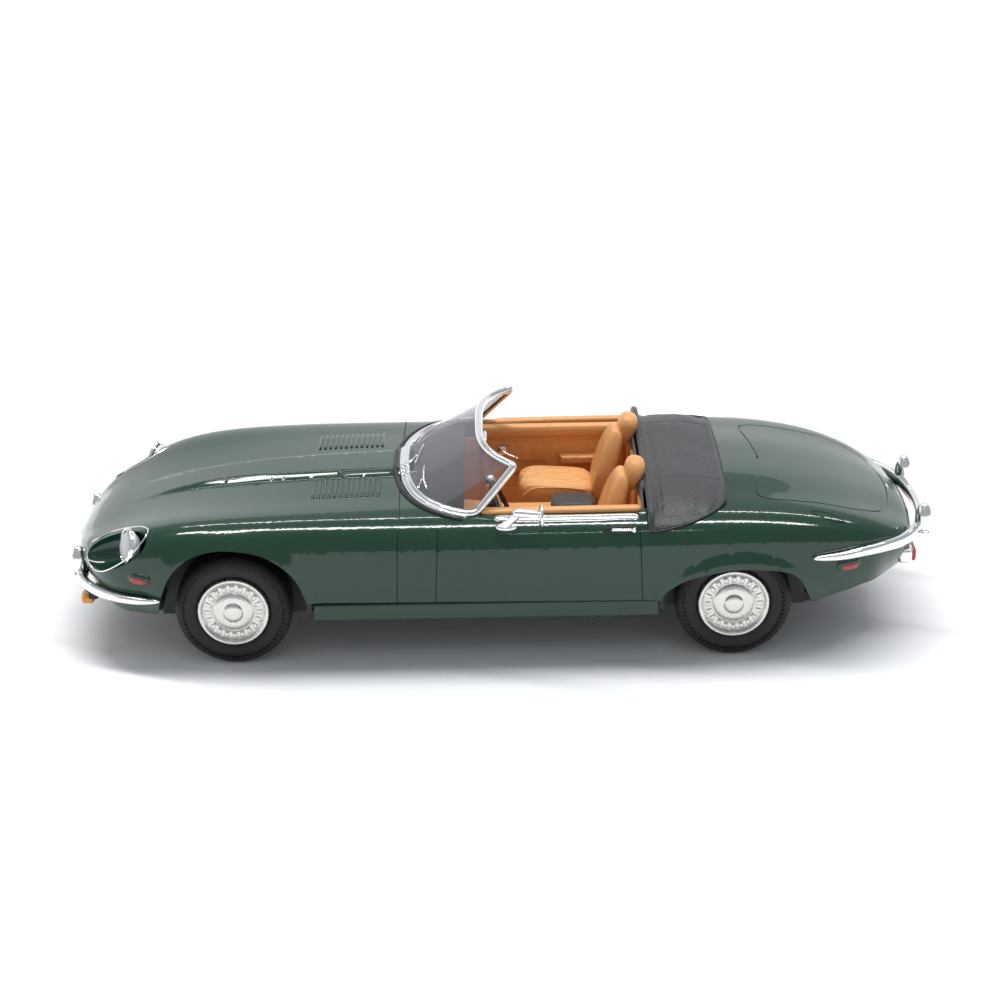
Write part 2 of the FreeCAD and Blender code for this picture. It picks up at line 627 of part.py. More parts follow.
def main():
    os.makedirs("parts", exist_ok=True)
    for name, shape in build().items():
        print(name, len(shape.Solids), round(shape.Volume, 2), shape.isValid(),
              [round(v, 2) for v in (shape.BoundBox.XMin, shape.BoundBox.XMax, shape.BoundBox.YMin,
                                     shape.BoundBox.YMax, shape.BoundBox.ZMin, shape.BoundBox.ZMax)])
        shape.exportStep("parts/" + name + ".step")


main()
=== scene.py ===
"""Looks of the diecast collector car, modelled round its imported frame. Lengths in the tables are in mm."""
import json
import math

import bpy
import numpy as np
from mathutils import Matrix, Vector
from mathutils.bvhtree import BVHTree


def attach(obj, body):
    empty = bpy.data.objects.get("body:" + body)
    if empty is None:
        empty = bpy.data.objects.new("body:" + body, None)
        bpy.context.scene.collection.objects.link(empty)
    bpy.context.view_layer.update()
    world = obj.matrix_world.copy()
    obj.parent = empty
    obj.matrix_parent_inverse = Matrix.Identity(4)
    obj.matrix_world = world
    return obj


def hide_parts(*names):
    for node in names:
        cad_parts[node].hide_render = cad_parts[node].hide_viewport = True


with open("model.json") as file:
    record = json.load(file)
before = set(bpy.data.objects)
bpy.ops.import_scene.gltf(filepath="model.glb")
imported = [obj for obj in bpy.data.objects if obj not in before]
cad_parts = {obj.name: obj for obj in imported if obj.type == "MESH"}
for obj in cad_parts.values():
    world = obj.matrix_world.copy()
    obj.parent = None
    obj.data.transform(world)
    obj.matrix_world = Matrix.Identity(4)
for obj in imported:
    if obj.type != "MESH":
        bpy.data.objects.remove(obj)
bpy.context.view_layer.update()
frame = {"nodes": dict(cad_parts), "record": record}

MM = 0.001
FRONT_AXLE_X, REAR_AXLE_X = -33.35, 28.65
AXLE_Z = 7.25
NOSE_X, TAIL_X = -53.7, 52.3
SCREEN_FOOT = (-11.9, 10.8, 16.2)            # centre x, sweep back, half width
SCREEN_HEAD = (-2.45, 4.5, 13.65, 25.6)      # centre x, sweep back, half width, height
SCREEN_REACH = 0.985                         # how far the frame goes towards the pane's edges
LAMP_CENTRE = (-46.2, -14.6, 15.6)
SKIN_COLS, SKIN_ROWS = 300, 206


# ---- finishes
class Amount:
    """A number that a node gives, for use in plain sums."""

    def __init__(self, finish, socket):
        self.finish, self.socket = finish, socket

    def sum(self, operation, first, second):
        return self.finish.node("ShaderNodeMath", {"operation": operation}, {0: first, 1: second})

    def __add__(self, other):
        return self.sum("ADD", self, other)

    def __mul__(self, other):
        return self.sum("MULTIPLY", self, other)

    __radd__, __rmul__ = __add__, __mul__


class Finish:
    """One material: its principled shader and the nodes that feed it."""

    def __init__(self, name, colour, roughness, metallic=0.0, **shader):
        self.material = bpy.data.materials.new(name)
        self.material.use_nodes = True
        self.tree = self.material.node_tree
        self.shader = self.tree.nodes["Principled BSDF"]
        self.out = self.tree.nodes["Material Output"]
        self.shader.inputs["Base Color"].default_value = (*colour, 1)
        for socket, value in dict(shader, Roughness=roughness, Metallic=metallic).items():
            self.shader.inputs[socket.replace("_", " ")].default_value = value

    def node(self, kind, settings=None, inputs=None, out=0):
        made = self.tree.nodes.new(kind)
        for key, value in (settings or {}).items():
            setattr(made, key, value)
        for key, value in (inputs or {}).items():
            if isinstance(value, Amount):
                self.tree.links.new(value.socket, made.inputs[key])
            else:
                made.inputs[key].default_value = value
        return Amount(self, made.outputs[out])

    def feed(self, socket, amount):
        self.tree.links.new(amount.socket, self.shader.inputs[socket])

    def place(self):
        return self.node("ShaderNodeTexCoord", out="Object")

    def noise(self, per_mm, detail=3):
        inputs = {0: self.place(), "Scale": per_mm / MM, "Detail": detail}
        return self.node("ShaderNodeTexNoise", {}, inputs, "Fac")

    def cells(self, per_mm):
        return self.node("ShaderNodeTexVoronoi", {}, {0: self.place(), "Scale": per_mm / MM}, "Distance")

    def ribs(self, direction, per_mm):
        return self.node("ShaderNodeTexWave", {"wave_type": "BANDS", "bands_direction": direction},
                {0: self.place(), "Scale": per_mm / MM / math.tau})

    def blend(self, amount, first, second):
        """Colour from first to second; a colour mix node has its colours on sockets 6 and 7, its result on 2."""
        return self.node("ShaderNodeMix", {"data_type": "RGBA"}, {0: amount, 6: (*first, 1), 7: (*second, 1)}, 2)

    def bump(self, height, depth_mm, strength=1.0):
        rise = self.node("ShaderNodeBump", {}, {"Height": height, "Distance": depth_mm * MM,
                    "Strength": strength})
        self.feed("Normal", rise)


def tinted(name, light, dark, per_mm, roughness, spread=0.08, metallic=0.0, **shader):
    """A finish whose colour and roughness drift softly over the piece."""
    finish = Finish(name, light, roughness, metallic, **shader)
    finish.feed("Base Color", finish.blend(finish.noise(per_mm, 4), light, dark))
    finish.feed("Roughness", finish.noise(per_mm * 9) * spread + (roughness - spread / 2))
    return finish


def grained(name, light, dark, per_mm, roughness, spread=0.08, grain=None, depth=0.02, strength=0.5, **shader):
    """A tinted finish with a fine relief, which grain works out from the finish."""
    finish = tinted(name, light, dark, per_mm, roughness, spread, **shader)
    if grain:
        finish.bump(grain(finish), depth, strength)
    return finish.material


def lens_finish(name, light, dark):
    """Coloured lamp plastic with moulded ribs across it."""
    return grained(name, light, dark, 0.9, 0.16, grain=lambda f: f.ribs("Z", 3.2), depth=0.05,
            Coat_Weight=0.8, Coat_Roughness=0.04)


def see_through(name, tint, clear, ribs=0.0):
    """Clear plastic: mostly open, with its gloss growing towards the edge of sight."""
    pane = tinted(name, tint, tuple(0.85 * c for c in tint), 0.2, 0.07, 0.03, Specular_IOR_Level=0.8,
            Coat_Weight=0.6)
    if ribs:
        pane.bump(pane.ribs("Y", ribs), 0.05, 0.6)
    open_part = pane.node("ShaderNodeBsdfTransparent")
    rim = pane.node("ShaderNodeLayerWeight", {}, {"Blend": 0.35}, "Fresnel")
    mixed = pane.node("ShaderNodeMixShader", {}, {0: rim * 0.42 + (1 - clear), 1: open_part})
    pane.tree.links.new(pane.shader.outputs[0], mixed.socket.node.inputs[2])
    pane.tree.links.new(mixed.socket, pane.out.inputs["Surface"])
    return pane.material


FINISH = {
    "body_paint": grained("green_enamel", (0.0045, 0.036, 0.0165), (0.0065, 0.044, 0.0205), 0.06, 0.24, 0.06,
            lambda f: f.noise(0.12, 2) * 0.8 + f.noise(2.5, 2) * 0.02, strength=0.12,
            Coat_Weight=1.0, Coat_Roughness=0.02, Specular_IOR_Level=0.12),
    # painted shade: a darker copy of the green enamel, put on groove walls and the lever dish so they read dark
    "painted_shade": grained("green_enamel_painted_shade", (0.0015, 0.008, 0.0045), (0.003, 0.012, 0.007), 0.4, 0.5),
    "black_plastic": grained("black_moulding", (0.010, 0.010, 0.011), (0.018, 0.018, 0.019), 0.5, 0.5, 0.2,
            lambda f: f.noise(14, 4)),
    "gasket": grained("black_gasket", (0.006, 0.006, 0.007), (0.012, 0.012, 0.013), 0.4, 0.32),
    "steel": grained("drawn_steel", (0.56, 0.56, 0.57), (0.42, 0.42, 0.43), 0.8, 0.36, 0.2,
            lambda f: f.noise(9), 0.01, 1.0, metallic=1.0),
    "tan_plastic": grained("tan_moulding", (0.86, 0.43, 0.16), (0.72, 0.335, 0.11), 0.22, 0.34, 0.14,
            lambda f: f.cells(3.2) * 0.6 + f.noise(7.0, 4) * 0.5, 0.03, 0.55,
            Specular_IOR_Level=0.45),
    "hood_vinyl": grained("grained_vinyl", (0.018, 0.018, 0.021), (0.034, 0.034, 0.039), 0.35, 0.44, 0.22,
            lambda f: f.cells(2.3) * 0.8 + f.cells(4.9) * 0.4 + f.noise(0.6, 5) * 0.9, 0.07, 0.8,
            Sheen_Weight=0.15),
    "bright_trim": grained("bright_plating", (0.97, 0.97, 0.975), (0.90, 0.90, 0.91), 0.3, 0.15, 0.08,
            lambda f: f.noise(0.6, 2), 0.006, 0.4, metallic=1.0),
    "lamp_silver": grained("lamp_silvering", (0.97, 0.97, 0.98), (0.88, 0.88, 0.90), 1.2, 0.25, 0.12,
            lambda f: f.cells(1.6), 0.05, 0.6, metallic=0.25),
    "plated_hub": grained("satin_plating", (0.80, 0.785, 0.75), (0.68, 0.66, 0.615), 0.5, 0.26, 0.14,
            lambda f: f.noise(4.0, 4), 0.012, metallic=1.0),
    "tyre_rubber": grained("soft_rubber", (0.017, 0.017, 0.018), (0.030, 0.030, 0.031), 0.35, 0.62, 0.2,
            lambda f: f.noise(9.0, 5), Specular_IOR_Level=0.35),
    "amber_lens": lens_finish("amber_lens_plastic", (0.95, 0.36, 0.02), (0.75, 0.24, 0.01)),
    "red_lens": lens_finish("red_lens_plastic", (0.50, 0.012, 0.02), (0.30, 0.006, 0.012)),
    "clear_pane": see_through("clear_pane_plastic", (0.30, 0.30, 0.34), 0.93),
    "clear_lens": see_through("clear_lens_plastic", (0.92, 0.93, 0.95), 0.55, ribs=2.6),
}


# ---- ways of working
def deselect():
    if bpy.context.object and bpy.context.object.mode != "OBJECT":
        bpy.ops.object.mode_set(mode="OBJECT")
    bpy.ops.object.select_all(action="DESELECT")


def edit_all():
    bpy.ops.object.mode_set(mode="EDIT")
    bpy.ops.mesh.select_all(action="SELECT")


def activate(piece):
    deselect()
    piece.select_set(True)
    bpy.context.view_layer.objects.active = piece


def weld(piece, closed=True, gap=0.002):
    """Merges doubles, closes what is open and turns the faces outwards."""
    activate(piece)
    edit_all()
    bpy.ops.mesh.remove_doubles(threshold=gap * MM)
    if closed:
        bpy.ops.mesh.fill_holes(sides=0)
        bpy.ops.mesh.select_all(action="SELECT")
    bpy.ops.mesh.normals_make_consistent(inside=False)
    bpy.ops.object.mode_set(mode="OBJECT")


def points_of(piece):
    flat = np.empty(len(piece.data.vertices) * 3)
    piece.data.vertices.foreach_get("co", flat)
    return flat.reshape(-1, 3) / MM


def set_points(piece, points):
    piece.data.vertices.foreach_set("co", (np.asarray(points) * MM).ravel())
    piece.data.update()


def moulded(name, cols, rows, shape, closed=True):
    """A grid of cols by rows cells pushed into shape(u, v), which takes 0-1 values and gives x, y, z."""
    deselect()
    bpy.ops.mesh.primitive_grid_add(x_subdivisions=cols, y_subdivisions=rows, size=2)
    piece = bpy.context.object
    piece.name = piece.data.name = name
    flat = points_of(piece) * MM
    x, y, z = shape((flat[:, 0] + 1) / 2, (flat[:, 1] + 1) / 2)
    set_points(piece, np.column_stack(np.broadcast_arrays(x, y, z)))
    weld(piece, closed)
    return piece


def turned(name, profile, steps, centre):
    """A turned piece on the Y axis through centre: a circle extruded through (radius, y) points."""
    deselect()
    middle = Vector((centre[0], 0, centre[1])) * MM
    bpy.ops.mesh.primitive_circle_add(vertices=steps, radius=profile[0][0] * MM,
            location=middle + Vector((0, profile[0][1] * MM, 0)),
            rotation=(math.pi / 2, 0, 0))
    bpy.ops.object.transform_apply(location=True, rotation=True, scale=True)
    piece = bpy.context.object
    piece.name = piece.data.name = name
    edit_all()
    for (r0, y0), (r1, y1) in zip(profile, profile[1:]):
        bpy.ops.mesh.extrude_edges_move(TRANSFORM_OT_translate={"value": (0, (y1 - y0) * MM, 0)})
        bpy.ops.transform.resize(value=(r1 / r0, 1, r1 / r0), center_override=middle)
    bpy.ops.object.mode_set(mode="OBJECT")
    weld(piece)
    return piece


def along(points, u):
    """Smooth curve through points, at each u from 0 to 1."""
    points = np.asarray(points, float)
    last = len(points) - 1
    t = np.clip(u, 0, 1) * last
    i = np.minimum(t.astype(int), last - 1)
    f = (t - i)[:, None]
    p = np.vstack([2 * points[0] - points[1], points, 2 * points[-1] - points[-2]])
    a, b, c, d = p[i], p[i + 1], p[i + 2], p[i + 3]
    return 0.5 * (2 * b + (c - a) * f + (2 * a - 5 * b + 4 * c - d) * f ** 2 + (3 * b - a - 3 * c + d) * f ** 3)


def swept(name, route, steps, sides, deep, high, tips=0.0, power=2.0, up=(0, 0, 1)):
    """A bar along a route: deep is its half depth across the route, high its half height along up.

    The route is a list of points or a function of u. A half size is a number or a function of u.
    """
    follow = route if callable(route) else lambda u: along(route, u)

    def shape(u, v):
        half_depth, half_height = (size(u) if callable(size) else size for size in (deep, high))
        step = 1e-3
        here = follow(u)
        tangent = follow(np.clip(u + step, 0, 1)) - follow(np.clip(u - step, 0, 1))
        tangent /= np.linalg.norm(tangent, axis=1)[:, None] + 1e-12
        out = np.cross(tangent, np.broadcast_to(np.asarray(up, float), tangent.shape))
        out /= np.linalg.norm(out, axis=1)[:, None] + 1e-12
        top = np.cross(out, tangent)
        turn = v * math.tau
        size = (1 - np.abs(2 * u - 1) ** (2 / tips)) ** 0.5 if tips else np.ones_like(u)
        size = np.maximum(size, 0.02)
        wide = np.sign(np.cos(turn)) * np.abs(np.cos(turn)) ** (2 / power) * half_depth * size
        tall = np.sign(np.sin(turn)) * np.abs(np.sin(turn)) ** (2 / power) * half_height * size
        return (here + out * wide[:, None] + top * tall[:, None]).T
    return moulded(name, steps, sides, shape)


def rod(name, points, radius, steps=24, sides=10, tips=0.0):
    """A round bar through points."""
    return swept(name, lambda u: along(points, u), steps, sides, radius, radius, tips, up=(0.3, 0.2, 0.93))


def pebble(name, centre, half, power=2.0, cols=32, rows=20, push=None):
    """A closed rounded block: half holds its three half sizes, and a higher power makes it squarer."""
    def shape(u, v):
        turn, rise = u * math.tau, (v - 0.5) * math.pi
        k = 2 / power
        ring = np.abs(np.cos(rise)) ** k
        x = ring * np.sign(np.cos(turn)) * np.abs(np.cos(turn)) ** k
        y = ring * np.sign(np.sin(turn)) * np.abs(np.sin(turn)) ** k
        z = np.sign(np.sin(rise)) * np.abs(np.sin(rise)) ** k
        p = np.column_stack([x, y, z])
        if push:
            p = push(p)
        return (p * np.array(half) + np.array(centre)).T
    return moulded(name, cols, rows, shape)


def disc(name, cols, rows, profile, centre, size=1.0):
    """A disc about an axis along the car, through (radius, forward) points; size scales its radius."""
    profile = np.array(profile)

    def shape(u, v):
        radius, forward = (np.interp(v * (len(profile) - 1), np.arange(len(profile)), profile[:, k])
                for k in (0, 1))
        return (centre[0] - forward, centre[1] + radius * size * np.cos(u * math.tau),
                centre[2] + radius * size * np.sin(u * math.tau))
    return moulded(name, cols, rows, shape)


def turn_piece(piece, axis, degrees, centre):
    middle = Matrix.Translation(Vector(centre) * MM)
    piece.data.transform(middle @ Matrix.Rotation(math.radians(degrees), 4, axis) @ middle.inverted())


def prism(name, outline, y0, y1):
    """A solid over an outline of (x, z) points, from y0 to y1."""
    deselect()
    bpy.ops.mesh.primitive_circle_add(vertices=len(outline), radius=MM, fill_type="NGON")
    piece = bpy.context.object
    piece.name = name
    set_points(piece, [(x, y0, z) for x, z in outline])
    edit_all()
    bpy.ops.mesh.extrude_region_move(TRANSFORM_OT_translate={"value": (0, (y1 - y0) * MM, 0)})
    bpy.ops.object.mode_set(mode="OBJECT")
    weld(piece)
    return piece


def paint_with(piece, finish):
    piece.data.materials.clear()
    piece.data.materials.append(FINISH[finish])
    return piece


def cut(piece, cutter, finish="body_paint"):
    """Cuts the piece with the cutter, whose finish the new faces take."""
    paint_with(cutter, finish)
    activate(piece)
    change = piece.modifiers.new("cut", "BOOLEAN")
    change.operation, change.solver, change.object = "DIFFERENCE", "MANIFOLD", cutter
    change.material_mode = "TRANSFER"
    bpy.ops.object.modifier_apply(modifier="cut")
    bpy.data.objects.remove(cutter)


def walled(piece, thickness, offset=-1):
    """Gives an open sheet its thickness: inwards, or half to each side with offset 0."""
    activate(piece)
    wall = piece.modifiers.new("wall", "SOLIDIFY")
    wall.thickness, wall.offset = thickness * MM, offset
    bpy.ops.object.modifier_apply(modifier="wall")


def joined(name, pieces):
    deselect()
    for piece in pieces:
        piece.select_set(True)
    bpy.context.view_layer.objects.active = pieces[0]
    bpy.ops.object.join()
    pieces[0].name = pieces[0].data.name = name
    return pieces[0]


def copied(piece, name):
    twin = piece.copy()
    twin.data = piece.data.copy()
    twin.name = twin.data.name = name
    bpy.context.scene.collection.objects.link(twin)
    return twin


def mirrored(piece, name):
    """The same piece on the other side of the car."""
    twin = copied(piece, name)
    twin.data.transform(Matrix.Diagonal((1, -1, 1, 1)))
    twin.data.flip_normals()
    return twin


def done(piece, slot, body="car", replaced=(), finish=None, angle=40):
    """Gives a finished piece its shading, finish and body, and hides the nodes it stands for."""
    activate(piece)
    if angle:
        bpy.ops.object.shade_smooth_by_angle(angle=math.radians(angle))
    if finish is not False:
        paint_with(piece, finish or slot)
    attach(piece, body)
    if replaced:
        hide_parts(*replaced)
    return piece


def both(piece, name, slot, nodes=(), finish=None, body="car", angle=40):
    """Finishes a left piece and its mirrored twin; nodes are named without their side."""
    twin = mirrored(piece, name + "_far")
    piece.name = piece.data.name = name + "_near"
    done(piece, slot, body, [n + "_left" for n in nodes], finish, angle)
    done(twin, slot, body, [n + "_right" for n in nodes], finish, angle)


# ---- body skin
# nose to tail: x, crown z, shoulder y, shoulder z, waist y, waist z, hem y, hem z
STATIONS = np.array([
    (-53.7, 12.4, 4.2, 12.2, 5.6, 10.9, 4.2, 8.0), (-53.0, 13.1, 6.6, 12.9, 9.2, 11.0, 7.4, 7.4),
    (-51.4, 14.3, 9.6, 14.1, 12.7, 11.3, 10.8, 6.8), (-48.8, 15.7, 12.1, 15.7, 15.4, 11.7, 13.6, 6.5),
    (-45.3, 16.9, 14.0, 17.4, 17.3, 12.1, 15.7, 6.4), (-41.0, 18.0, 15.2, 18.6, 18.5, 12.4, 17.1, 6.4),
    (-36.0, 18.7, 15.9, 19.2, 19.2, 12.6, 17.9, 6.4), (-30.0, 19.3, 16.2, 19.45, 19.5, 12.7, 18.2, 6.4),
    (-22.0, 19.75, 16.3, 19.6, 19.6, 12.7, 18.3, 6.4), (-10.0, 20.1, 16.2, 19.6, 19.6, 12.7, 18.3, 6.4),
    (4.0, 20.3, 16.2, 19.65, 19.6, 12.7, 18.3, 6.4), (16.0, 20.5, 16.2, 19.7, 19.6, 12.7, 18.2, 6.4),
    (25.0, 20.6, 16.2, 19.7, 19.6, 12.9, 18.1, 6.4), (31.0, 20.4, 16.0, 19.6, 19.3, 13.1, 17.9, 6.4),
    (36.0, 19.9, 15.5, 19.2, 18.8, 13.2, 17.3, 6.4), (41.5, 18.8, 14.5, 18.3, 17.7, 13.2, 16.2, 6.6),
    (45.8, 17.4, 13.1, 16.9, 15.9, 13.0, 14.5, 7.0), (49.0, 15.9, 11.4, 15.4, 13.7, 12.6, 12.4, 7.8),
    (51.6, 14.5, 9.7, 14.0, 11.8, 12.2, 10.4, 8.8), (52.3, 13.4, 8.0, 13.0, 10.2, 12.0, 9.0, 9.4)])
FRONT_ARCH = [(-42.5, 7.5), (-41.9, 10.2), (-40.5, 13.4), (-38.2, 15.6), (-35.4, 16.6), (-32.4, 16.7),
        (-29.2, 16.1), (-26.6, 14.5), (-24.9, 12.4), (-23.9, 9.6)]
REAR_ARCH = [(19.3, 9.2), (20.4, 10.7), (22.4, 12.0), (25.2, 12.8), (28.6, 13.3), (32.2, 13.1), (35.0, 12.5),
        (36.6, 11.3), (37.5, 9.4), (38.2, 8.1)]


ROW_SHARE = (0, 0.102, 0.354, 0.646, 0.898, 1)     # rows lie closer together over the shoulders


def smooth(low, high, value):
    t = np.clip((value - low) / (high - low), 0, 1)
    return t * t * (3 - 2 * t)


def weights(count, t):
    """Cubic B-spline weights of count poles, clamped at both ends, at each t from 0 to count - 3."""
    knots = np.concatenate([np.zeros(3), np.arange(count - 2), np.full(3, count - 3)]).astype(float)
    t = np.clip(t, 0, count - 3 - 1e-9)
    table = ((knots[:-1] <= t[:, None]) & (t[:, None] < knots[1:])).astype(float)
    for degree in (1, 2, 3):
        spare = len(knots) - 1 - degree
        low, high = knots[:spare], knots[degree + 1:]
        run = np.maximum(knots[degree:degree + spare] - low, 1e-12)
        fall = np.maximum(high - knots[1:spare + 1], 1e-12)
        table = ((t[:, None] - low) / run * table[:, :spare] * (knots[degree:degree + spare] > low)
                + (high - t[:, None]) / fall * table[:, 1:spare + 1] * (high > knots[1:spare + 1]))
    return table


def skin_net(inset):
    net = []
    for x, zc, ys, zs, yw, zw, yh, zh in STATIONS:
        ys, yw, yh = ys - 0.6 * inset, yw - inset, yh - inset
        zc, zs, zh = zc - inset, zs - inset, zh - 3 * inset
        half = [(0, zc), (0.36 * ys, zc - 0.02), (0.70 * ys, 0.45 * zc + 0.55 * zs - 0.12), (0.98 * ys, zs + 0.10),
                (ys + 0.72 * (yw - ys), zs - 0.14 * (zs - zw)), (yw, 0.5 * (zs + zw)), (yw + 0.05, zw),
                (yw - 0.15, 0.5 * (zw + zh)), (yh, zh)]
        ring = [(-y, z) for y, z in half[:0:-1]] + half
        net.append([(x * (1 - inset / TAIL_X), y, z) for y, z in ring])
    return np.array(net)


def skin(u, v, inset=0.0):
    """Points of the car's outer skin, for the two grid parameters from 0 to 1."""
    net = skin_net(inset)
    spans = np.abs(np.diff(STATIONS[:, 0]))
    pace = np.concatenate([[0], np.cumsum(spans + 2.2)])
    t = np.interp(u, pace / pace[-1], np.arange(20)) * 17 / 19
    round_body = np.interp(v, ROW_SHARE, (0, 2.6, 4.6, 9.4, 11.4, 14))
    p = np.einsum("pi,ijk,pj->pk", weights(20, t), net, weights(17, round_body))
    x, side, y, z = p[:, 0], np.sign(p[:, 1]), np.abs(p[:, 1]), p[:, 2]
    half = 3.1 + 1.1 * smooth(-46, -12, x)
    bulge = 0.62 * smooth(-47.5, -33, x) * (1 - smooth(-9, -4, x))
    z = z + np.where(z > 15, bulge * (1 - smooth(0.72, 1.12, y / half)), 0)
    for cx, cz, rx, rz, flare in ((FRONT_AXLE_X, 7.2, 9.0, 9.2, 0.35), (REAR_AXLE_X + 0.2, 5.6, 9.5, 7.6, 0.5)):
        outside = (np.hypot((x - cx) / rx, (z - cz) / rz) - 1) * 0.5 * (rx + rz)
        y = y + flare * smooth(15.5, 18, y) * (1 - smooth(0.3, 2.6, outside)) * smooth(5, 7, z)
    nose, tail = 1 - smooth(NOSE_X, -47, x), smooth(45, TAIL_X, x)
    x = x + 0.30 * (12.4 - z) * nose - (0.30 * (13.4 - z) + 0.006 * y ** 2) * tail
    return x, side * y, z


def closed_skin(name, cols, rows, inset):
    """The skin made a solid: hem joined to hem underneath, then nose and tail closed."""
    piece = moulded(name, cols, rows, lambda u, v: skin(u, v, inset), closed=False)
    activate(piece)
    edit_all()
    bpy.ops.mesh.fill_holes(sides=0)
    bpy.ops.mesh.select_all(action="SELECT")
    bpy.ops.mesh.normals_make_consistent(inside=False)
    bpy.ops.object.mode_set(mode="OBJECT")
    return paint_with(piece, "body_paint")


plain_skin = moulded("plain_skin", SKIN_COLS, SKIN_ROWS, skin, closed=False)
SKIN_TREE = BVHTree.FromPolygons([Vector(p) for p in points_of(plain_skin)],
        [tuple(f.vertices) for f in plain_skin.data.polygons])


def from_above(x, y):
    """Point and normal of the skin under (x, y)."""
    point, normal, _, _ = SKIN_TREE.ray_cast(Vector((x, y, 60)), Vector((0, 0, -1)))
    return (point, normal) if normal.z > 0 else (point, -normal)


def from_side(x, z, side=-1):
    """Point and normal of the skin seen from the side at (x, z)."""
    point, normal, _, _ = SKIN_TREE.ray_cast(Vector((x, side * 60, z)), Vector((0, -side, 0)))
    return (point, normal) if normal.y * side > 0 else (point, -normal)


def groove(name, spots, width=0.17, depth=0.16):
    """A ribbon that follows the skin through spots and stands through it, to cut a shut line."""
    points = np.array([p for p, _ in spots])
    normals = np.array([n for _, n in spots])
    tangents = np.gradient(points, axis=0)
    sides = np.cross(tangents, normals)
    sides /= np.linalg.norm(sides, axis=1)[:, None]
    corners = [points + sides * a + normals * b for a, b in
            ((-width / 2, 0.35), (width / 2, 0.35), (width / 2, -depth), (-width / 2, -depth),
                (-width / 2, 0.35))]

    def shape(u, v):
        i = np.rint(u * (len(points) - 1)).astype(int)
        j = np.rint(v * 4).astype(int)
        return np.array(corners)[j, i].T
    return moulded(name, len(points) - 1, 4, shape)


def screen_point(s, t, offset=0.0):
    """Point on the windscreen: s from -1 (left) to 1 (right), t from 0 (foot) to 1 (head)."""
    s, t = np.asarray(s, float), np.asarray(t, float)
    reach = np.minimum(1, np.abs(s) ** 2.4)
    back = 1 - (1 - reach) ** (1 / 2.4)
    foot = np.array([SCREEN_FOOT[0] + SCREEN_FOOT[1] * back, SCREEN_FOOT[2] * s, 20.3 - 1.5 * reach])
    head = np.array([SCREEN_HEAD[0] + SCREEN_HEAD[1] * np.abs(s) ** 3.4, SCREEN_HEAD[2] * s,
                SCREEN_HEAD[3] - 0.6 * s * s])
    x, y, z = foot + (head - foot) * t
    return np.array([x + offset * np.cos(0.9 * s),
                y * (1 - offset / SCREEN_FOOT[2] * np.abs(np.sin(0.9 * s))), z])


def above_skin(points, gap):
    """The same points, lifted where they would lie lower than gap over the skin."""
    points = np.array(points)
    for point in points:
        hit, _, _, _ = SKIN_TREE.ray_cast(Vector((point[0], point[1], 60)), Vector((0, 0, -1)))
        if hit:
            point[2] = max(point[2], hit.z + gap)
    return points


def spread_out(count):
    """Numbers from -1 to 1 that lie closer together towards the ends."""
    return np.sin(np.pi * (np.linspace(0, 1, count) - 0.5))


def outline_through(points, steps):
    return along(points, np.linspace(0, 1, steps))


def side_prism():
    """Everything under the lower edge of the body."""
    front, rear = outline_through(FRONT_ARCH, 49), outline_through(REAR_ARCH, 49)
    edge = [(-58, -2), (-58, 8.9), (-53, 8.9), (-48.5, 7.6), (-46.5, 7.2), *front, *rear,
            (39, 8), (44.5, 9.3), (50.5, 9.8), (58, 9.8), (58, -2)]
    return prism("side_prism", edge, -30, 30)


def cockpit_prism():
    """The cockpit opening, up through the body."""
    reach = 15.2 / SCREEN_FOOT[2]
    front = [screen_point(s, 0, 1.3) for s in reach * spread_out(41)]
    ends = [(17, 15.2), (22.0, 14.6), (25, 12.2), (26.6, 8.5)]
    outline = [(p[0], y) for p, y in zip(front, 15.2 * spread_out(41))]
    outline += ends + [(x, -y) for x, y in reversed(ends)]
    piece = prism("cockpit_prism", outline, 10, 30)
    points = points_of(piece)
    set_points(piece, points[:, [0, 2, 1]])
    weld(piece)
    return piece


def lamp_scoop(side, wall=0.0):
    """The long hollow whose rear end holds a headlamp, or the metal of that wall round it."""
    scoop = pebble("scoop", (0, 0, 0), (5.2 + wall, 2.7 + wall, 2.35 + wall), cols=72, rows=48)
    turn_piece(scoop, "Y", -22, (0, 0, 0))
    turn_piece(scoop, "Z", -26, (0, 0, 0))
    points = points_of(scoop) + np.array(LAMP_CENTRE) + (-1.6, 0.2, -0.5)
    set_points(scoop, points * (1, -side, 1))
    weld(scoop)
    return scoop


def shut_lines():
    """Ribbons for the lines between bonnet, doors, boot lid and fuel flap."""
    lines = []
    for x_top, x_low in ((-12.6, -12.9), (-7.7, -8.2), (16.8, 17.2)):
        for side in (-1, 1):
            heights = np.linspace(18.6, 9.0, 40)
            places = [from_side(x_top + (x_low - x_top) * (18.6 - z) / 9.6, z, side) for z in heights]
            lines.append(groove("door_line", places, 0.12, 0.16))
    across = [from_above(-12.6 + 0.012 * (y / 4) ** 2, y) for y in np.linspace(-16.6, 16.6, 70)]
    lines.append(groove("bonnet_line", across, 0.12, 0.16))
    lid = [(33.0, 0), (32.3, 6.2), (31.7, 10.2), (32.2, 12.1), (34.5, 12.6), (39.4, 12.2), (43.3, 11.8),
           (46.7, 10.1), (48.3, 7.5), (49.2, 4), (49.5, 0)]
    loop = lid + [(x, -y) for x, y in lid[-2:0:-1]] + [lid[0]]
    lines.append(groove("boot_line", [from_above(x, y) for x, y in outline_through(loop, 180)], 0.2, 0.14))
    turn = np.linspace(0, math.tau, 49)
    flap = [from_above(40.05 + 1.9 * np.cos(a), -15.2 + 0.62 * np.sin(a) - 0.3 * np.cos(a)) for a in turn]
    lines.append(groove("flap_line", flap, 0.16, 0.12))
    return lines


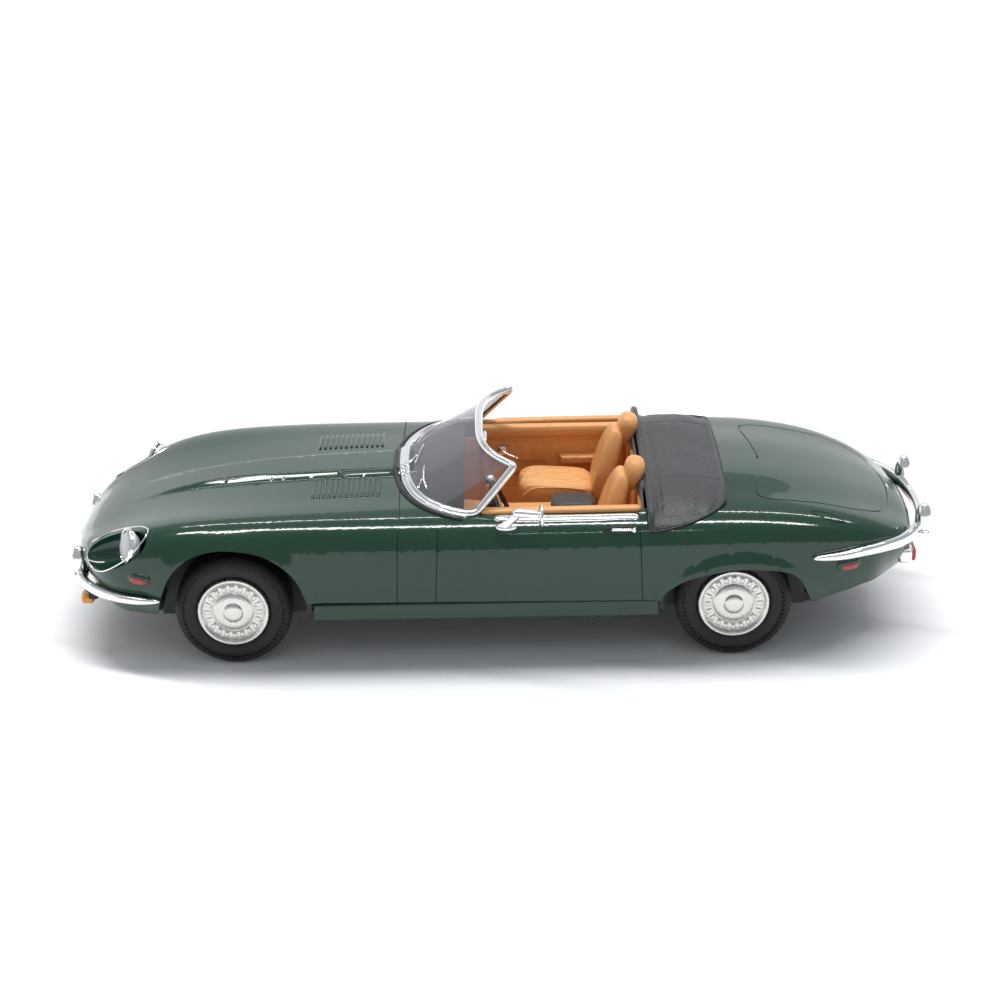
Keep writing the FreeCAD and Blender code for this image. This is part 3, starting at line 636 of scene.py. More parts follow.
def skin_shading(piece):
    """Shades the cut body as the unbroken skin wherever a face lies on that skin."""
    activate(piece)
    bpy.ops.object.shade_smooth_by_angle(angle=math.radians(32))
    change = piece.modifiers.new("skin_normals", "DATA_TRANSFER")
    change.object, change.use_loop_data = plain_skin, True
    change.data_types_loops = {"CUSTOM_NORMAL"}
    change.loop_mapping = "POLYINTERP_NEAREST"
    change.use_max_distance, change.max_distance = True, 0.012 * MM
    mesh = piece.data
    loops = len(mesh.loops)
    own, starts = np.empty(loops * 3), np.empty(len(mesh.polygons), int)
    mesh.corner_normals.foreach_get("vector", own)
    bpy.ops.object.modifier_apply(modifier=change.name)
    mesh = piece.data
    lent = np.empty(loops * 3)
    mesh.corner_normals.foreach_get("vector", lent)
    faces = np.empty(len(mesh.polygons) * 3)
    mesh.polygons.foreach_get("normal", faces)
    sizes = np.empty(len(mesh.polygons), int)
    mesh.polygons.foreach_get("loop_total", sizes)
    mesh.polygons.foreach_get("loop_start", starts)
    owner = np.repeat(np.arange(len(sizes)), sizes)
    own, lent, faces = own.reshape(-1, 3), lent.reshape(-1, 3), faces.reshape(-1, 3)
    off_skin = np.einsum("ij,ij->i", lent, faces[owner]) < 0.8
    lent[off_skin] = own[off_skin]
    mesh.normals_split_custom_set(lent.tolist())


def make_body():
    body = closed_skin("body_skin", SKIN_COLS, SKIN_ROWS, 0.0)
    inner = closed_skin("inner_skin", 90, 60, 0.9)
    for side in (-1, 1):
        cut(inner, lamp_scoop(side, 0.7), "black_plastic")
    cut(body, inner, "black_plastic")
    cut(body, side_prism())
    cut(body, cockpit_prism())
    mouth = pebble("mouth", (-54, 0, 10.8), (4, 6.2, 1.2), 7, 64, 32)
    cut(body, mouth)
    for side in (-1, 1):
        cut(body, lamp_scoop(side))
    # Door and bonnet lines get painted shade on their groove walls; boot and flap lines keep the body paint.
    for line in shut_lines():
        cut(body, line, "body_paint" if line.name.startswith(("boot", "flap")) else "painted_shade")
    skin_shading(body)
    return done(body, "body_paint", replaced=["body_shell"], finish=False, angle=0)


make_body()


def make_louvres():
    """Two panels of pressed louvres on the bonnet; the real ones are open at one end, these ribs are closed at
    both.
    """
    slots = 13
    for name, low, high in (("near", -10.1, -4.3), ("far", 6.3, 11.2)):
        panel = []
        for k in range(slots):
            x0 = -23.4 + 0.68 * k

            def shape(u, v, x0=x0):
                turn = u * math.tau
                y = low + (high - low) * (0.5 + 0.5 * np.sin((v - 0.5) * np.pi))
                end = np.sqrt(np.clip(1 - (2 * (y - low) / (high - low) - 1) ** 14, 0.0004, 1))
                x = x0 + 0.24 * np.cos(turn) * end
                lift = 0.22 * np.sin(turn) * end
                ground = np.array([from_above(a, b)[0].z for a, b in zip(x, y)])
                return x, y, ground + lift
            panel.append(moulded("louvre", 12, 10, shape))
        done(joined("louvres_" + name, panel), "body_paint")


make_louvres()


# ---- wheels
def make_tyre():
    teeth = 64
    profile = [(4.5, -12.6), (4.9, -12.15), (5.7, -12.05), (6.5, -12.2), (7.0, -12.55), (7.2, -13.0), (7.25, -13.3)]
    for y in (-13.55, -14.15, -14.75):
        profile += [(7.25, y), (7.02, y - 0.05), (7.02, y - 0.2), (7.25, y - 0.25)]
    profile += [(7.25, -15.1), (7.25, -15.35), (7.2, -15.65), (7.0, -16.05), (6.75, -16.32), (6.5, -16.47),
            (6.28, -16.56), (6.22, -16.36), (5.8, -16.50), (5.2, -16.48), (4.8, -16.36), (4.55, -16.1),
            (4.5, -15.6), (4.5, -12.6)]
    tyre = turned("tyre", profile, 2 * teeth, (FRONT_AXLE_X, AXLE_Z))
    points = points_of(tyre)
    out = points[:, [0, 2]] - (FRONT_AXLE_X, AXLE_Z)
    radius = np.hypot(*out.T)
    odd = np.rint(np.arctan2(out[:, 1], out[:, 0]) / math.pi * teeth).astype(int) % 2
    y = points[:, 1]
    saw = (np.abs(radius - 6.25) < 0.05) & (y < -16)
    edge = (radius > 7.23) & ((y < -15.05) & (y > -15.4) | (y > -13.6) & (y < -13.25))
    grown = radius + np.where(saw, 0.17 * (2 * odd - 1), 0) - np.where(edge, 0.12 * odd, 0)
    points[:, [0, 2]] = (FRONT_AXLE_X, AXLE_Z) + out * (grown / radius)[:, None]
    set_points(tyre, points)
    return tyre


def make_hub():
    profile = np.array([
        (0.02, -17.0), (0.7, -16.97), (1.08, -16.87), (1.2, -16.7), (1.3, -16.66), (1.9, -16.63), (2.3, -16.52),
        (2.52, -16.36), (2.6, -16.28), (2.7, -16.38), (3.2, -16.46), (3.7, -16.40), (3.78, -16.34), (3.88, -16.50),
        (4.08, -16.70), (4.34, -16.68), (4.48, -16.5), (4.5, -16.2), (4.5, -15.0), (4.3, -12.7), (0.02, -12.7)])
    lengths = np.concatenate([[0], np.cumsum(np.minimum(np.hypot(*np.diff(profile, axis=0).T), 0.9) + 0.05)])

    def shape(u, v):
        turn = u * math.tau
        radius, y = (np.interp(v * lengths[-1], lengths, profile[:, k]) for k in (0, 1))
        vents = smooth(0.30, 0.62, 0.5 + 0.5 * np.cos(20 * turn))
        band = smooth(2.76, 2.94, radius) * (1 - smooth(3.48, 3.66, radius)) * (y < -16)
        y = y - 0.11 * vents * band
        return FRONT_AXLE_X + radius * np.cos(turn), y, AXLE_Z + radius * np.sin(turn)
    return moulded("hub", 200, 72, shape)


def make_wheels():
    for maker, name, slot in ((make_tyre, "tyre", "tyre_rubber"), (make_hub, "hub", "plated_hub")):
        model = maker()
        for end, shift in (("front", 0.0), ("rear", (REAR_AXLE_X - FRONT_AXLE_X) * MM)):
            piece = copied(model, f"{end}_{name}_piece")
            piece.data.transform(Matrix.Translation((shift, 0, 0)))
            both(piece, f"{end}_{name}_piece", slot, [f"{end}_{name}"], body=f"{end}_wheels", angle=35)
        bpy.data.objects.remove(model)


make_wheels()


# ---- windscreen
def screen_edge():
    """The outline of the windscreen as points of a closed curve, with softened corners."""
    wide, low, high = SCREEN_REACH, 0.0, SCREEN_REACH
    bend = np.sin(np.pi * (np.linspace(0, 1, 200, endpoint=False) - 0.5))
    climb = np.linspace(low, high, 80, endpoint=False)
    s = np.concatenate([wide * bend, np.full(80, wide), -wide * bend, np.full(80, -wide)])
    t = np.concatenate([np.full(200, low), climb, np.full(200, high), high + low - climb])
    points = screen_point(s, t).T
    points = np.where((t <= 0.25)[:, None], above_skin(points, 0.22), points)
    points = np.vstack([points, points[:1]])
    lengths = np.concatenate([[0], np.cumsum(np.linalg.norm(np.diff(points, axis=0), axis=1))])
    even = np.linspace(0, lengths[-1], 400, endpoint=False)
    points = np.column_stack([np.interp(even, lengths, points[:, k]) for k in range(3)])
    for _ in range(3):
        points = (np.roll(points, 1, 0) + points + np.roll(points, -1, 0)) / 3
    return np.vstack([points, points[:1]])


def make_windscreen():
    lean = (-0.49, 0, 0.87)
    edge = screen_edge()
    surround = swept("screen_frame", lambda u: along(edge, u % 1), 400, 14, 0.46,
            0.46, power=2.6, up=lean)
    done(surround, "bright_trim", replaced=["windscreen_frame"])

    def foot(t, offset):
        across = SCREEN_REACH * spread_out(90)
        return above_skin(screen_point(across, t, offset).T, 0.05)
    for name, t, offset, size, slot, finish in (
            ("screen_foot_rail", -0.03, -0.30, 0.36, "bright_trim", None),
            ("screen_gasket", -0.06, -0.85, 0.30, "black_plastic", "gasket")):
        rail = swept(name, foot(t, offset), 120, 12, size, size,
                0.2, up=lean)
        done(rail, slot, finish=finish)

    def pane(u, v):
        return screen_point(0.975 * np.sin(np.pi * (u - 0.5)), 0.97 * v)
    glass = moulded("screen_pane", 80, 24, pane, closed=False)
    walled(glass, 0.3, 0)
    done(glass, "clear_pane", replaced=["windscreen_glass"])


make_windscreen()


def make_wipers():
    parts = []
    for s in (-0.62, -0.16, 0.30):
        root = screen_point(s, -0.09, -1.0)
        knee = screen_point(s + 0.05, 0.10, -0.65)
        tip = screen_point(s + 0.14, 0.20, -0.5)
        parts.append(rod("arm", [root, knee, tip], 0.11, 16, 8, 0.2))
        blade = [screen_point(s + d, t, -0.38)
                for d, t in ((-0.02, 0.16), (0.09, 0.19), (0.20, 0.23), (0.32, 0.27))]
        parts.append(rod("blade", blade, 0.12, 16, 8, 0.2))
        parts.append(pebble("pivot", root, (0.30, 0.30, 0.24), 2.4, 20, 12))
    done(joined("wiper_set", parts), "bright_trim", replaced=["wipers"])


make_wipers()


def make_mirrors():
    back = pebble("rear_view", (-1.9, 0, 23.15), (0.32, 1.95, 0.72), 3.2, 40, 24)
    stalk = rod("stalk", [(-1.95, 0, 23.3), (-2.3, 0, 24.1), (-2.5, 0, 25.1)], 0.16, 12, 8)
    done(joined("rear_view_mirror", [back, stalk]), "bright_trim", replaced=["interior_mirror"])
    profile = np.array([(0.03, 4.55), (0.9, 4.58), (1.28, 4.68), (1.42, 4.82), (1.42, 4.98), (1.34, 5.08),
                (1.24, 5.0), (0.03, 4.97)])

    def cup(u, v):
        radius, x = (along(profile, v)[:, k] for k in (0, 1))
        radius = np.maximum(radius, 0.03)
        return x, -19.6 + radius * np.cos(u * math.tau), 20.85 + radius * np.sin(u * math.tau)
    head = moulded("mirror_cup", 40, 36, cup)
    foot = pebble("mirror_foot", (0.6, -18.35, 18.95), (1.35, 0.75, 0.42), 2.3, 32, 18)
    stem = rod("mirror_stem", [(0.0, -18.4, 18.9), (0.9, -18.8, 19.7), (1.7, -19.3, 20.7), (2.3, -19.5, 21.2)],
            0.5, 24, 14)
    arm = swept("mirror_arm", [(1.3, -19.5, 21.3), (3.0, -19.55, 21.2), (4.7, -19.6, 21.0)], 24, 14,
            0.55, 0.52, 0.25, 2.6)
    done(joined("door_mirror_piece", [head, foot, stem, arm]), "bright_trim", replaced=["door_mirror"])


make_mirrors()


# ---- bumpers, strips and handles
def halves(points):
    """Points down the left side, with their mirror images up the right side."""
    return list(points) + [(p[0], -p[1], *p[2:]) for p in reversed(points[:-1])]


def make_bumpers():
    front = halves([
            (-42.0, -18.55, 9.85, 0.30, 0.34), (-45, -17.55, 9.6, 0.5, 0.5), (-48, -16.05, 9.5, 0.58, 0.55),
                (-51, -13.4, 9.45, 0.62, 0.55), (-53.2, -9.25, 9.4, 0.62, 0.55), (-54.0, -4.6, 9.4, 0.58, 0.5),
                (-54.15, 0, 9.4, 0.56, 0.5)])
    rear = halves([
            (38.0, -18.75, 14.15, 0.34, 0.3), (41.4, -18.1, 14.2, 0.52, 0.5), (44.2, -17.05, 14.3, 0.62, 0.6),
                (47.2, -15.15, 14.1, 0.70, 0.6), (50, -12.25, 13.6, 0.78, 0.6), (52.3, -8.6, 13.4, 0.85, 0.6),
                (53.3, -4.6, 13.3, 0.85, 0.55), (53.6, 0, 13.3, 0.85, 0.5)])
    # each row: x, y, z, half height, half depth
    for name, table in (("front_bumper", front), ("rear_bumper", rear)):
        table = np.array(table)
        bar = swept(name + "_piece", lambda u, t=table: along(t[:, :3], u), 220, 16,
                lambda u, t=table: along(t, u)[:, 4], lambda u, t=table: along(t, u)[:, 3], 0.06, 2.8)
        done(bar, "bright_trim", replaced=[name])
    for name, place, half in (("front_overrider", (-53.35, -8.6, 11.0), (1.1, 1.15, 2.1)),
            ("rear_overrider", (53.25, -8.1, 14.5), (1.1, 1.15, 2.2))):
        bullet = pebble(name, place, half, 2.5, 40, 28,
                lambda p: p * np.column_stack([1 - 0.25 * p[:, 2] ** 2, 1 - 0.22 * p[:, 2] ** 2,
                    np.ones(len(p))]))
        foot = pebble("foot", (place[0] + (0.2 if place[0] < 0 else -0.2), place[1], place[2] - 1.6),
                (0.95, 1.25, 0.5), 4, 32, 16)
        both(joined(name, [bullet, foot]), name + "_piece", "bright_trim", [name])


make_bumpers()


def make_side_trim():
    places = [(x, y, from_above(x, y)[0].z + 0.03) for x, y in
            ((-0.9, -16.7), (3, -16.9), (8, -16.95), (13, -16.95), (16.9, -16.9))]
    strip = swept("door_top", places, 80, 14, 0.62, 0.30,
            0.1, 2.6, up=(0, -0.35, 0.94))
    both(strip, "door_top_strip", "bright_trim", ["door_strip"])
    lever = swept("lever", [(12.9, -18.5, 18.35), (13.9, -18.8, 18.5), (15.2, -18.85, 18.5),
                (16.2, -18.6, 18.4)],
            32, 14, 0.13, 0.17, 0.3, 2.4)
    button = pebble("button", (16.1, -18.65, 18.35), (0.3, 0.3, 0.3), 2.4, 20, 14)
    both(joined("door_lever", [lever, button]), "door_lever_piece", "bright_trim", ["door_handle"])
    # A flat dish in painted shade stands for the shadowed recess behind the lever.
    dish = pebble("dish", (14.4, -18.55, 18.25), (2.15, 0.28, 0.62), 2.2, 40, 20)
    both(dish, "door_lever_painted_shade_dish", "body_paint", finish="painted_shade")
    sill = swept("sill", [(-23.2, -17.1, 7.5), (-2, -17.1, 7.5), (19.2, -17.1, 7.5)], 90, 20,
            0.66, 1.25, 0.0, 4.5)
    both(sill, "sill_piece", "body_paint", ["sill"])


make_side_trim()


# ---- lamps
SCOOP_EDGE = [(-51.7, -11.5, 13.1), (-51.1, -10.6, 14.4), (-50.1, -10.7, 15.1), (-48.8, -10.5, 15.7),
        (-47.4, -11, 16.3), (-46, -11.8, 16.9), (-44.4, -13.0, 17.5), (-43.4, -14.4, 17.7),
        (-43.6, -15.7, 17.3), (-44.7, -16.6, 16.1), (-46.2, -16.5, 14.6), (-48.3, -15.5, 13),
        (-49.8, -14.2, 12.1), (-51, -12.7, 12)]


def make_headlamps():
    def facing(name, profile):
        """A disc of the lamp, turned outwards and up."""
        piece = disc(name, 64, 6 * (len(profile) - 1), profile, LAMP_CENTRE)
        turn_piece(piece, "Z", 20, LAMP_CENTRE)
        turn_piece(piece, "Y", 14, LAMP_CENTRE)
        return piece
    bowl = facing("bowl", [(0.03, -1.6), (1.2, -1.4), (1.9, -0.7), (2.1, 0.0), (2.0, 0.05), (1.8, -0.35),
                (1.1, -0.95), (0.5, -1.15), (0.45, -0.6), (0.03, -0.45)])
    both(bowl, "headlamp_reflector", "lamp_silver", ["headlamp_bowl"])
    lens = facing("lens", [(0.03, 0.75), (0.7, 0.68), (1.3, 0.48), (1.7, 0.22), (1.88, 0.02), (1.86, -0.05),
                (1.2, 0.30), (0.03, 0.5)])
    both(lens, "headlamp_glass", "clear_lens", ["headlamp_lens"])
    ring = facing("ring", [(1.86, 0.0), (1.95, 0.22), (2.15, 0.26), (2.3, 0.1), (2.32, -0.25), (2.1, -0.35),
                (1.9, -0.2), (1.86, 0.0)])
    both(ring, "headlamp_ring", "bright_trim", ["headlamp_rim"])
    edge = np.array(SCOOP_EDGE)
    closed = np.vstack([edge, edge[:1]])
    line = swept("scoop_line", lambda u: along(closed, u % 1), 150, 8, 0.10,
            0.10, up=(-0.5, -0.4, 0.75))
    both(line, "scoop_line", "bright_trim")


make_headlamps()


def make_small_lamps():
    for name, place, turn in (("front_marker", (-44.6, -17.35, 12.2), 25),
            ("rear_marker", (42.6, -17.15, 12.4), -22)):
        lens = pebble("lens", place, (1.15, 0.42, 0.42), 3.5, 32, 18)
        turn_piece(lens, "Z", -turn, place)
        both(lens, name + "_lens", "red_lens")
        hood = pebble("hood", (place[0], place[1] + 0.15, place[2] + 0.25), (1.65, 0.5, 0.75), 2.6, 36, 20)
        turn_piece(hood, "Z", -turn, place)
        both(hood, name + "_hood", "body_paint")
        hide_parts(name + "s")
    lamp = pebble("indicator", (-52.2, -10.2, 6.9), (0.85, 1.35, 0.62), 4, 32, 18)
    holder = pebble("holder", (-51.4, -10.2, 7.5), (0.7, 1.6, 0.55), 4, 32, 18)
    both(lamp, "indicator_lens", "amber_lens")
    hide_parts("front_indicators")
    both(holder, "indicator_holder", "black_plastic")
    tail = pebble("tail", (51.15, -8.95, 10.75), (1.0, 2.05, 0.85), 5, 40, 24)
    both(tail, "tail_lamp_lens", "red_lens", ["tail_lamp"])
    bezel = pebble("bezel", (50.7, -8.95, 10.75), (0.95, 2.3, 1.08), 5, 40, 24)
    both(bezel, "tail_lamp_bezel", "bright_trim")


make_small_lamps()


# ---- folded hood
def make_hood_cover():
    edge_x = [18.1, 19.5, 21.5, 23.5, 25.2, 27.0, 27.7]
    edge_half = [18.7, 18.55, 18.2, 17.6, 16.75, 14.9, 13.4]
    edge_z = [18.0, 18.2, 18.5, 18.95, 19.3, 19.75, 20.3]
    crown_z = [21.0, 21.35, 21.55, 21.55, 21.4, 21.0, 20.75]

    def cover(u, v):
        s = 2 * u - 1
        x = np.interp(v, np.linspace(0, 1, len(edge_x)), edge_x)
        half, low, crown = (np.interp(x, edge_x, row) for row in (edge_half, edge_z, crown_z))
        y = half * np.sin(s * math.pi / 2)
        reach = np.abs(y / half)
        z = crown - (crown - low) * reach ** 5
        side = smooth(0.86, 0.97, reach)
        folds = 0.10 * np.sin(2.2 * x + 9 * reach) * side * (1 - smooth(26, 27.6, x))
        dents = 0.05 * np.sin(0.9 * x + 0.35 * y) * np.sin(0.5 * y - 0.2 * x) * (1 - side)
        rolled = 0.28 * np.exp(-((x - 18.55) / 0.42) ** 2) - 0.16 * np.exp(-((x - 19.5) / 0.3) ** 2)
        lip = 0.16 * np.exp(-((x - 27.3) / 0.3) ** 2)
        seam = -0.10 * np.exp(-((np.abs(y) - 9.5) / 0.16) ** 2) * (1 - side)
        x = x + 0.18 * smooth(26.8, 27.7, x) * (1 - reach ** 2)
        z = z + folds + dents + rolled + lip + seam
        ground = np.array([from_above(a, b)[0].z for a, b in zip(x, y)])
        return x, y, np.maximum(z, ground + 0.12)
    top = moulded("hood_top", 150, 90, cover, closed=False)
    if top.data.polygons[0].normal.z < 0:
        top.data.flip_normals()
    walled(top, 0.8)
    done(top, "hood_vinyl", replaced=["hood_cover"], angle=50)

    def curtain(u, v):
        y = 15.1 * (2 * u - 1)
        x = 17.35 + 0.12 * np.sin(1.9 * y) * v + 0.1 * np.sin(9 * v)
        return x, y, 20.9 - 1.2 * np.abs(2 * u - 1) ** 6 - 8 * v
    front = moulded("hood_front", 120, 30, curtain, closed=False)
    walled(front, 0.3, 0)
    done(front, "hood_vinyl", angle=60)
    hem = [(18.2, -18.75, 18.1), (18.2, -18.2, 19.6), (18.2, -16.6, 20.55), (18.2, -12, 20.95), (18.2, 0, 21.05)]
    roll = swept("hem", halves(hem), 140, 12, 0.36, 0.42,
            0.1, up=(1, 0, 0))
    done(roll, "hood_vinyl")
    rear = [(18.4, -18.85, 18.05), (21.5, -18.35, 18.55), (23.5, -17.75, 19.0), (25.3, -16.75, 19.4),
            (26.9, -15.2, 19.8), (27.65, -13.3, 20.25), (27.9, -8, 20.5), (28.0, 0, 20.6)]
    piping = swept("hood_piping", halves(rear), 200, 8, 0.17,
            0.17, 0.1)
    done(piping, "hood_vinyl", finish="gasket")


make_hood_cover()


# ---- cockpit
def pleated(p, across, count, depth, reach=0.75):
    """Sewn channels pressed into a cushion, running along its length."""
    lane = p[:, across] * count / 2
    press = np.exp(-((lane - np.round(lane)) / 0.13) ** 2) * (np.abs(p[:, across]) < reach)
    return 1 - depth * press


def make_seats():
    def cushion_push(p):
        top = smooth(-0.2, 0.5, p[:, 2])
        front = smooth(0.2, 0.9, -p[:, 0])
        k = pleated(p, 1, 12, 0.07)
        bolster = 1 + 0.16 * smooth(0.66, 0.95, np.abs(p[:, 1])) * top
        return p * np.column_stack([1 - (1 - k) * front, np.ones(len(p)), (1 - (1 - k) * top) * bolster])

    def back_push(p):
        face = smooth(0.2, 0.9, -p[:, 0])
        k = pleated(p, 1, 12, 0.12)
        waist = 1 - 0.30 * smooth(-0.3, 1.0, p[:, 2])
        bolster = 1 + 0.35 * smooth(0.66, 0.92, np.abs(p[:, 1])) * face
        return p * np.column_stack([(1 - (1 - k) * face) * bolster, waist, np.ones(len(p))])
    cushion = pebble("cushion", (7.4, -7.5, 12.9), (5.1, 3.75, 2.1), 4.5, 160, 72, cushion_push)
    turn_piece(cushion, "Y", 4, (7.4, -7.5, 12.9))
    back = pebble("back", (14.0, -7.5, 16.9), (1.35, 3.6, 5.2), 3.2, 160, 80, back_push)
    turn_piece(back, "Y", 17, (14.0, -7.5, 16.9))
    head = pebble("head", (16.6, -7.6, 21.3), (1.5, 2.15, 2.2), 2.5, 64, 40,
            lambda p: p * np.column_stack([0.82 + 0.18 * p[:, 2], 0.86 + 0.14 * p[:, 2], np.ones(len(p))]))
    turn_piece(head, "Y", 14, (16.6, -7.6, 21.3))
    posts = [rod("post", [(15.7, y, 20.6), (16.3, y, 22.0)], 0.22, 8, 10) for y in (-8.5, -6.9)]
    plinth = pebble("plinth", (8.3, -7.5, 9.4), (4.3, 3.2, 1.7), 7, 48, 24)
    piping = [rod("piping", [(x, -11.05 if side else -3.95, z) for x, z in
                ((2.9, 13.5), (4.5, 14.55), (8.0, 14.6), (11.5, 14.2))], 0.14, 32, 8, 0.1)
            for side in (0, 1)]
    both(joined("seat", [cushion, back, head, plinth, *posts, *piping]), "seat_piece", "tan_plastic", ["seat"],
         angle=60)


make_seats()


def make_door_cards():
    def card(u, v):
        x, z = -2.6 + 19.6 * u, 7.8 + 11.9 * v
        roll = 0.62 * np.sqrt(np.clip(1 - ((z - 18.8) / 0.95) ** 2, 0, 1))
        inside_rest = (1 - smooth(2.2, 2.6, np.abs(x - 10.5))) * (1 - smooth(0.42, 0.6, np.abs(z - 14.95)))
        rest = 1.35 * inside_rest
        pocket = -0.30 * (1 - smooth(2.0, 2.25, np.abs(x - 4.05))) * (1 - smooth(0.95, 1.2, np.abs(z - 13.3)))
        strap = 0.45 * (1 - smooth(2.2, 2.4, np.abs(x - 4.05))) * (1 - smooth(0.22, 0.34, np.abs(z - 13.0)))
        seam = -0.12 * np.exp(-((z - 17.2) / 0.14) ** 2) - 0.12 * np.exp(-((z - 10.8) / 0.14) ** 2)
        pleat = 0.06 * np.cos((x + 2.6) * 3.2) * smooth(10.8, 11.0, z) * (1 - smooth(16.9, 17.1, z))
        border = smooth(0, 0.03, u) * (1 - smooth(0.97, 1, u)) * smooth(0, 0.03, v) * (1 - smooth(0.985, 1, v))
        rise = (0.35 + np.maximum(roll, rest) + pocket + strap + seam + pleat) * border
        return x, -14.25 + rise, z
    panel = moulded("card", 170, 130, card, closed=False)
    if panel.data.polygons[2000].normal.y < 0:
        panel.data.flip_normals()
    walled(panel, 0.15)
    cap = swept("cap", [(-2.6, -15.1, 19.55), (7, -15.25, 19.72), (17.2, -15.25, 19.78)], 80, 14,
            0.62, 0.42, 0.05, 2.8)
    both(joined("card", [panel, cap]), "door_card_piece", "tan_plastic", ["door_card"], angle=50)
    boss = pebble("boss", (0.4, -13.7, 16.1), (0.62, 0.35, 0.62), 3, 28, 16)
    crank = rod("crank", [(0.4, -13.35, 16.1), (1.3, -13.2, 15.6), (2.3, -13.2, 15.2)], 0.16, 16, 8)
    knob = pebble("knob", (2.3, -13.05, 15.2), (0.28, 0.35, 0.28), 2.2, 16, 12)
    both(joined("winder", [boss, crank, knob]), "window_winder", "bright_trim")


make_door_cards()


def make_controls():
    centre = (0.5, -7.6, 16.0)

    def ring(u, v):
        turn, roll = u * math.tau, v * math.tau
        radius = 4.2 + 0.34 * np.cos(roll)
        return (centre[0] + radius * np.cos(turn), centre[1] + radius * np.sin(turn),
                centre[2] + (0.30 + 0.03 * np.cos(40 * turn)) * np.sin(roll))
    rim = moulded("rim", 160, 14, ring)
    boss = pebble("boss", (centre[0], centre[1], centre[2] - 0.25), (1.0, 1.0, 0.5), 3, 36, 18)
    spokes = []
    for angle in (30, 150, 270):
        a = math.radians(angle)
        spoke = swept("spoke", lambda u, a=a: np.column_stack([centre[0] + (0.5 + 3.6 * u) * math.cos(a),
                    centre[1] + (0.5 + 3.6 * u) * math.sin(a),
                    centre[2] - 0.15 + 0.1 * u]),
                16, 12, lambda u: 0.42 - 0.12 * u, 0.1, 0.0, 3)
        spokes.append(spoke)
    pad = pebble("pad", (centre[0], centre[1], centre[2] + 0.2), (0.62, 0.62, 0.25), 2.6, 28, 14)
    for piece in (rim, boss, pad, *spokes):
        turn_piece(piece, "Y", 68, centre)
    done(joined("steering_rim", [rim, boss, pad]), "black_plastic", replaced=["steering_wheel"])
    done(joined("steering_spokes", spokes), "bright_trim")
    bezel = [(0.02, 5.1), (0.8, 5.1), (0.86, 4.95), (1.0, 4.92), (1.05, 5.2), (0.02, 5.3)]
    dials = []
    for y, z, size in ((-9.6, 16.2, 0.95), (-5.6, 16.2, 0.95), (-2.1, 16.5, 0.5), (-0.7, 16.5, 0.5),
            (0.7, 16.5, 0.5), (2.1, 16.5, 0.5)):
        dials.append(disc("dial", 36, 10, bezel, (0, y, z), size))
    done(joined("instrument_bezels", dials), "bright_trim")
    knob = pebble("gear_knob", (-1.3, 0, 17.45), (0.72, 0.72, 0.78), 2.2, 32, 20)
    stalk = rod("gear_stalk", [(-1.0, 0, 13.6), (-1.1, 0, 15.5), (-1.28, 0, 17.2)], 0.26, 12, 12)

    def creased(p):
        ring = 1 - 0.4 * smooth(-0.2, 1, p[:, 2]) + 0.06 * np.sin(14 * p[:, 2])
        return p * np.column_stack([ring, ring, np.ones(len(p))])
    gaiter = pebble("gear_boot", (-1.0, 0, 13.8), (1.25, 1.25, 1.2), 2.4, 40, 24,
            creased)
    done(joined("gear_knob", [knob, stalk]), "bright_trim", replaced=["gear_lever"])
    done(gaiter, "black_plastic")
    lid = pebble("armrest_lid", (9.35, 0, 14.05), (2.85, 2.05, 0.78), 4.5, 64, 32,
            lambda p: p * np.column_stack([np.ones(len(p)), np.ones(len(p)),
                1 - 0.10 * np.exp(-((p[:, 2] - 0.35) / 0.12) ** 2)
                + 0.08 * smooth(0, 1, p[:, 2]) * (1 - p[:, 0] ** 2)]))
    done(lid, "black_plastic", replaced=["armrest_box"], finish="hood_vinyl")


make_controls()


def make_nose():
    bar = swept("bar", [(-53.3, -5.9, 10.9), (-53.75, -3, 10.9), (-53.9, 0, 10.9),
                (-53.75, 3, 10.9), (-53.3, 5.9, 10.9)], 60, 10,
            0.16, 0.2)
    disc = pebble("boss", (-54.0, 0, 10.9), (0.3, 0.85, 0.85), 2.6, 32, 20)
    done(joined("mouth_bar", [bar, disc]), "bright_trim")


make_nose()


# ---- carried-over parts
def finish_nodes():
    """The CAD parts whose shape is right keep it and take the finish of their slot."""
    for part in frame["record"]["subparts"]:
        node = frame["nodes"][part["node"]]
        if not node.hide_render:
            for slot in node.material_slots:
                slot.link = "OBJECT"
                slot.material = FINISH[part["material_slot"]]


finish_nodes()
bpy.data.objects.remove(plain_skin)


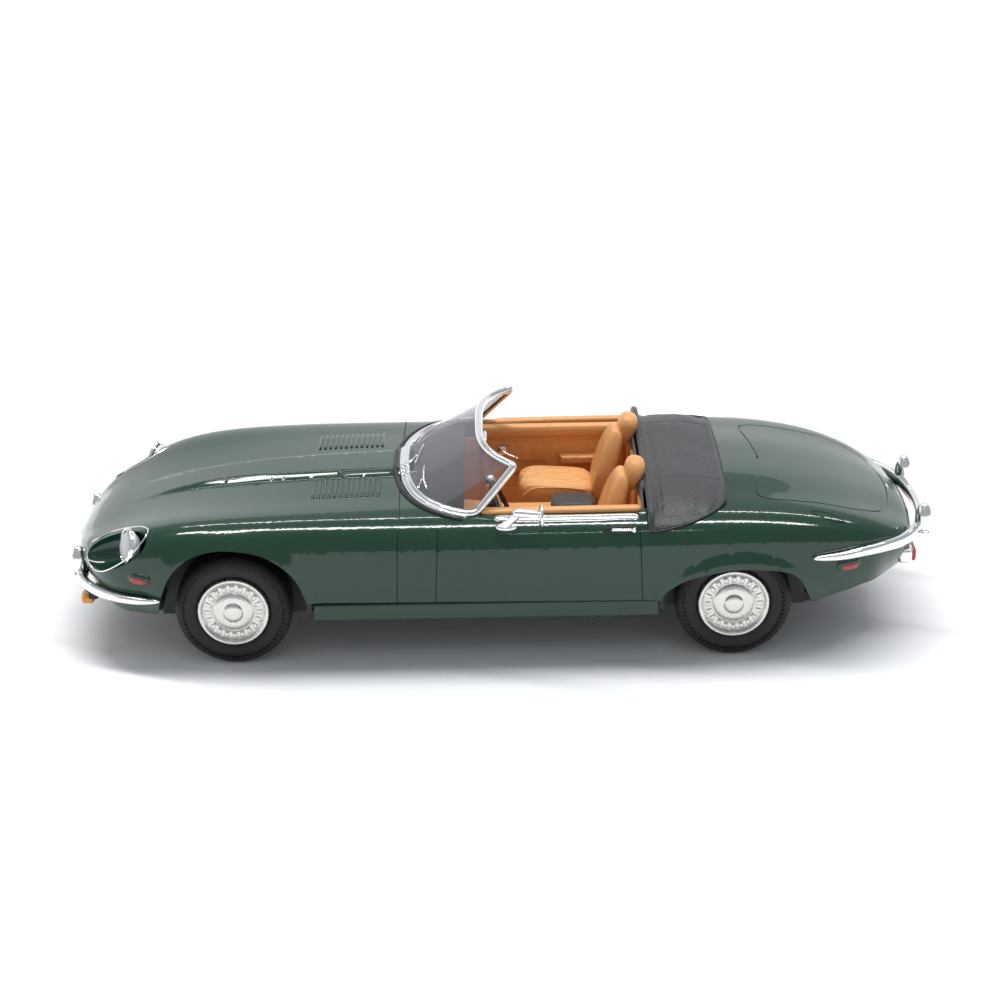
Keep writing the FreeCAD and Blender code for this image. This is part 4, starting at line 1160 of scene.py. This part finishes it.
# ---- stage, light and camera
def make_stage():
    deselect()
    bpy.ops.mesh.primitive_plane_add(size=14, location=(0, 0, 0))
    floor = bpy.context.object
    floor.name = "floor"
    white = Finish("pale_floor", (0.93, 0.935, 0.945), 0.9, Specular_IOR_Level=0.0)
    floor.data.materials.append(white.material)

    world = bpy.data.worlds.new("studio")
    bpy.context.scene.world = world
    world.use_nodes = True
    tree = world.node_tree
    sky = tree.nodes["Background"]
    sky.inputs["Color"].default_value = (0.90, 0.95, 1.0, 1)
    sky.inputs["Strength"].default_value = 0.42


def soft_box(name, place, aim, width, height, power):
    """A soft light at place, turned to aim."""
    light = bpy.data.lights.new(name, "AREA")
    light.shape, light.size, light.size_y, light.energy = "RECTANGLE", width, height, power
    lamp = bpy.data.objects.new(name, light)
    lamp.location = place
    lamp.rotation_euler = (Vector(aim) - Vector(place)).to_track_quat("-Z", "Y").to_euler()
    bpy.context.scene.collection.objects.link(lamp)
    return lamp


make_stage()
soft_box("overhead_strip", (0.1, 0.26, 3.0), (0, 0, 0), 3.4, 0.36, 84)
soft_box("rear_strip", (0.45, 1.93, 2.30), (0, 0, 0), 3.2, 0.10, 13)
soft_box("door_glint", (0.18, -1.85, 2.35), (0, 0, 0), 0.34, 0.07, 0.9)
soft_box("backdrop", (0, 5.0, 1.35), (0, 0, 1.3), 12, 2.7, 44)
soft_box("left_wall", (-4.0, 0.6, 1.3), (0, 0, 1.0), 5, 2.6, 24)


def make_camera():
    azimuth, elevation, roll = math.radians(0.171), math.radians(23.069), math.radians(-0.946)
    reach = 311.11 * MM
    target = Vector((-0.05, 0, 14.704)) * MM
    look = Vector((math.sin(azimuth) * math.cos(elevation), math.cos(azimuth) * math.cos(elevation),
                -math.sin(elevation)))
    right = Vector((math.cos(azimuth), -math.sin(azimuth), 0))
    up = right.cross(look)
    side = right * math.cos(roll) + up * math.sin(roll)
    top = up * math.cos(roll) - right * math.sin(roll)
    data = bpy.data.cameras.new("camera")
    data.lens, data.sensor_width = 86.86, 36
    data.clip_start, data.clip_end = 0.01, 50
    camera = bpy.data.objects.new("camera", data)
    place = target - look * reach
    camera.matrix_world = Matrix.Translation(place) @ Matrix((side, top, -look)).transposed().to_4x4()
    bpy.context.scene.collection.objects.link(camera)
    bpy.context.scene.camera = camera


make_camera()
bpy.context.scene.view_settings.view_transform = "Standard"
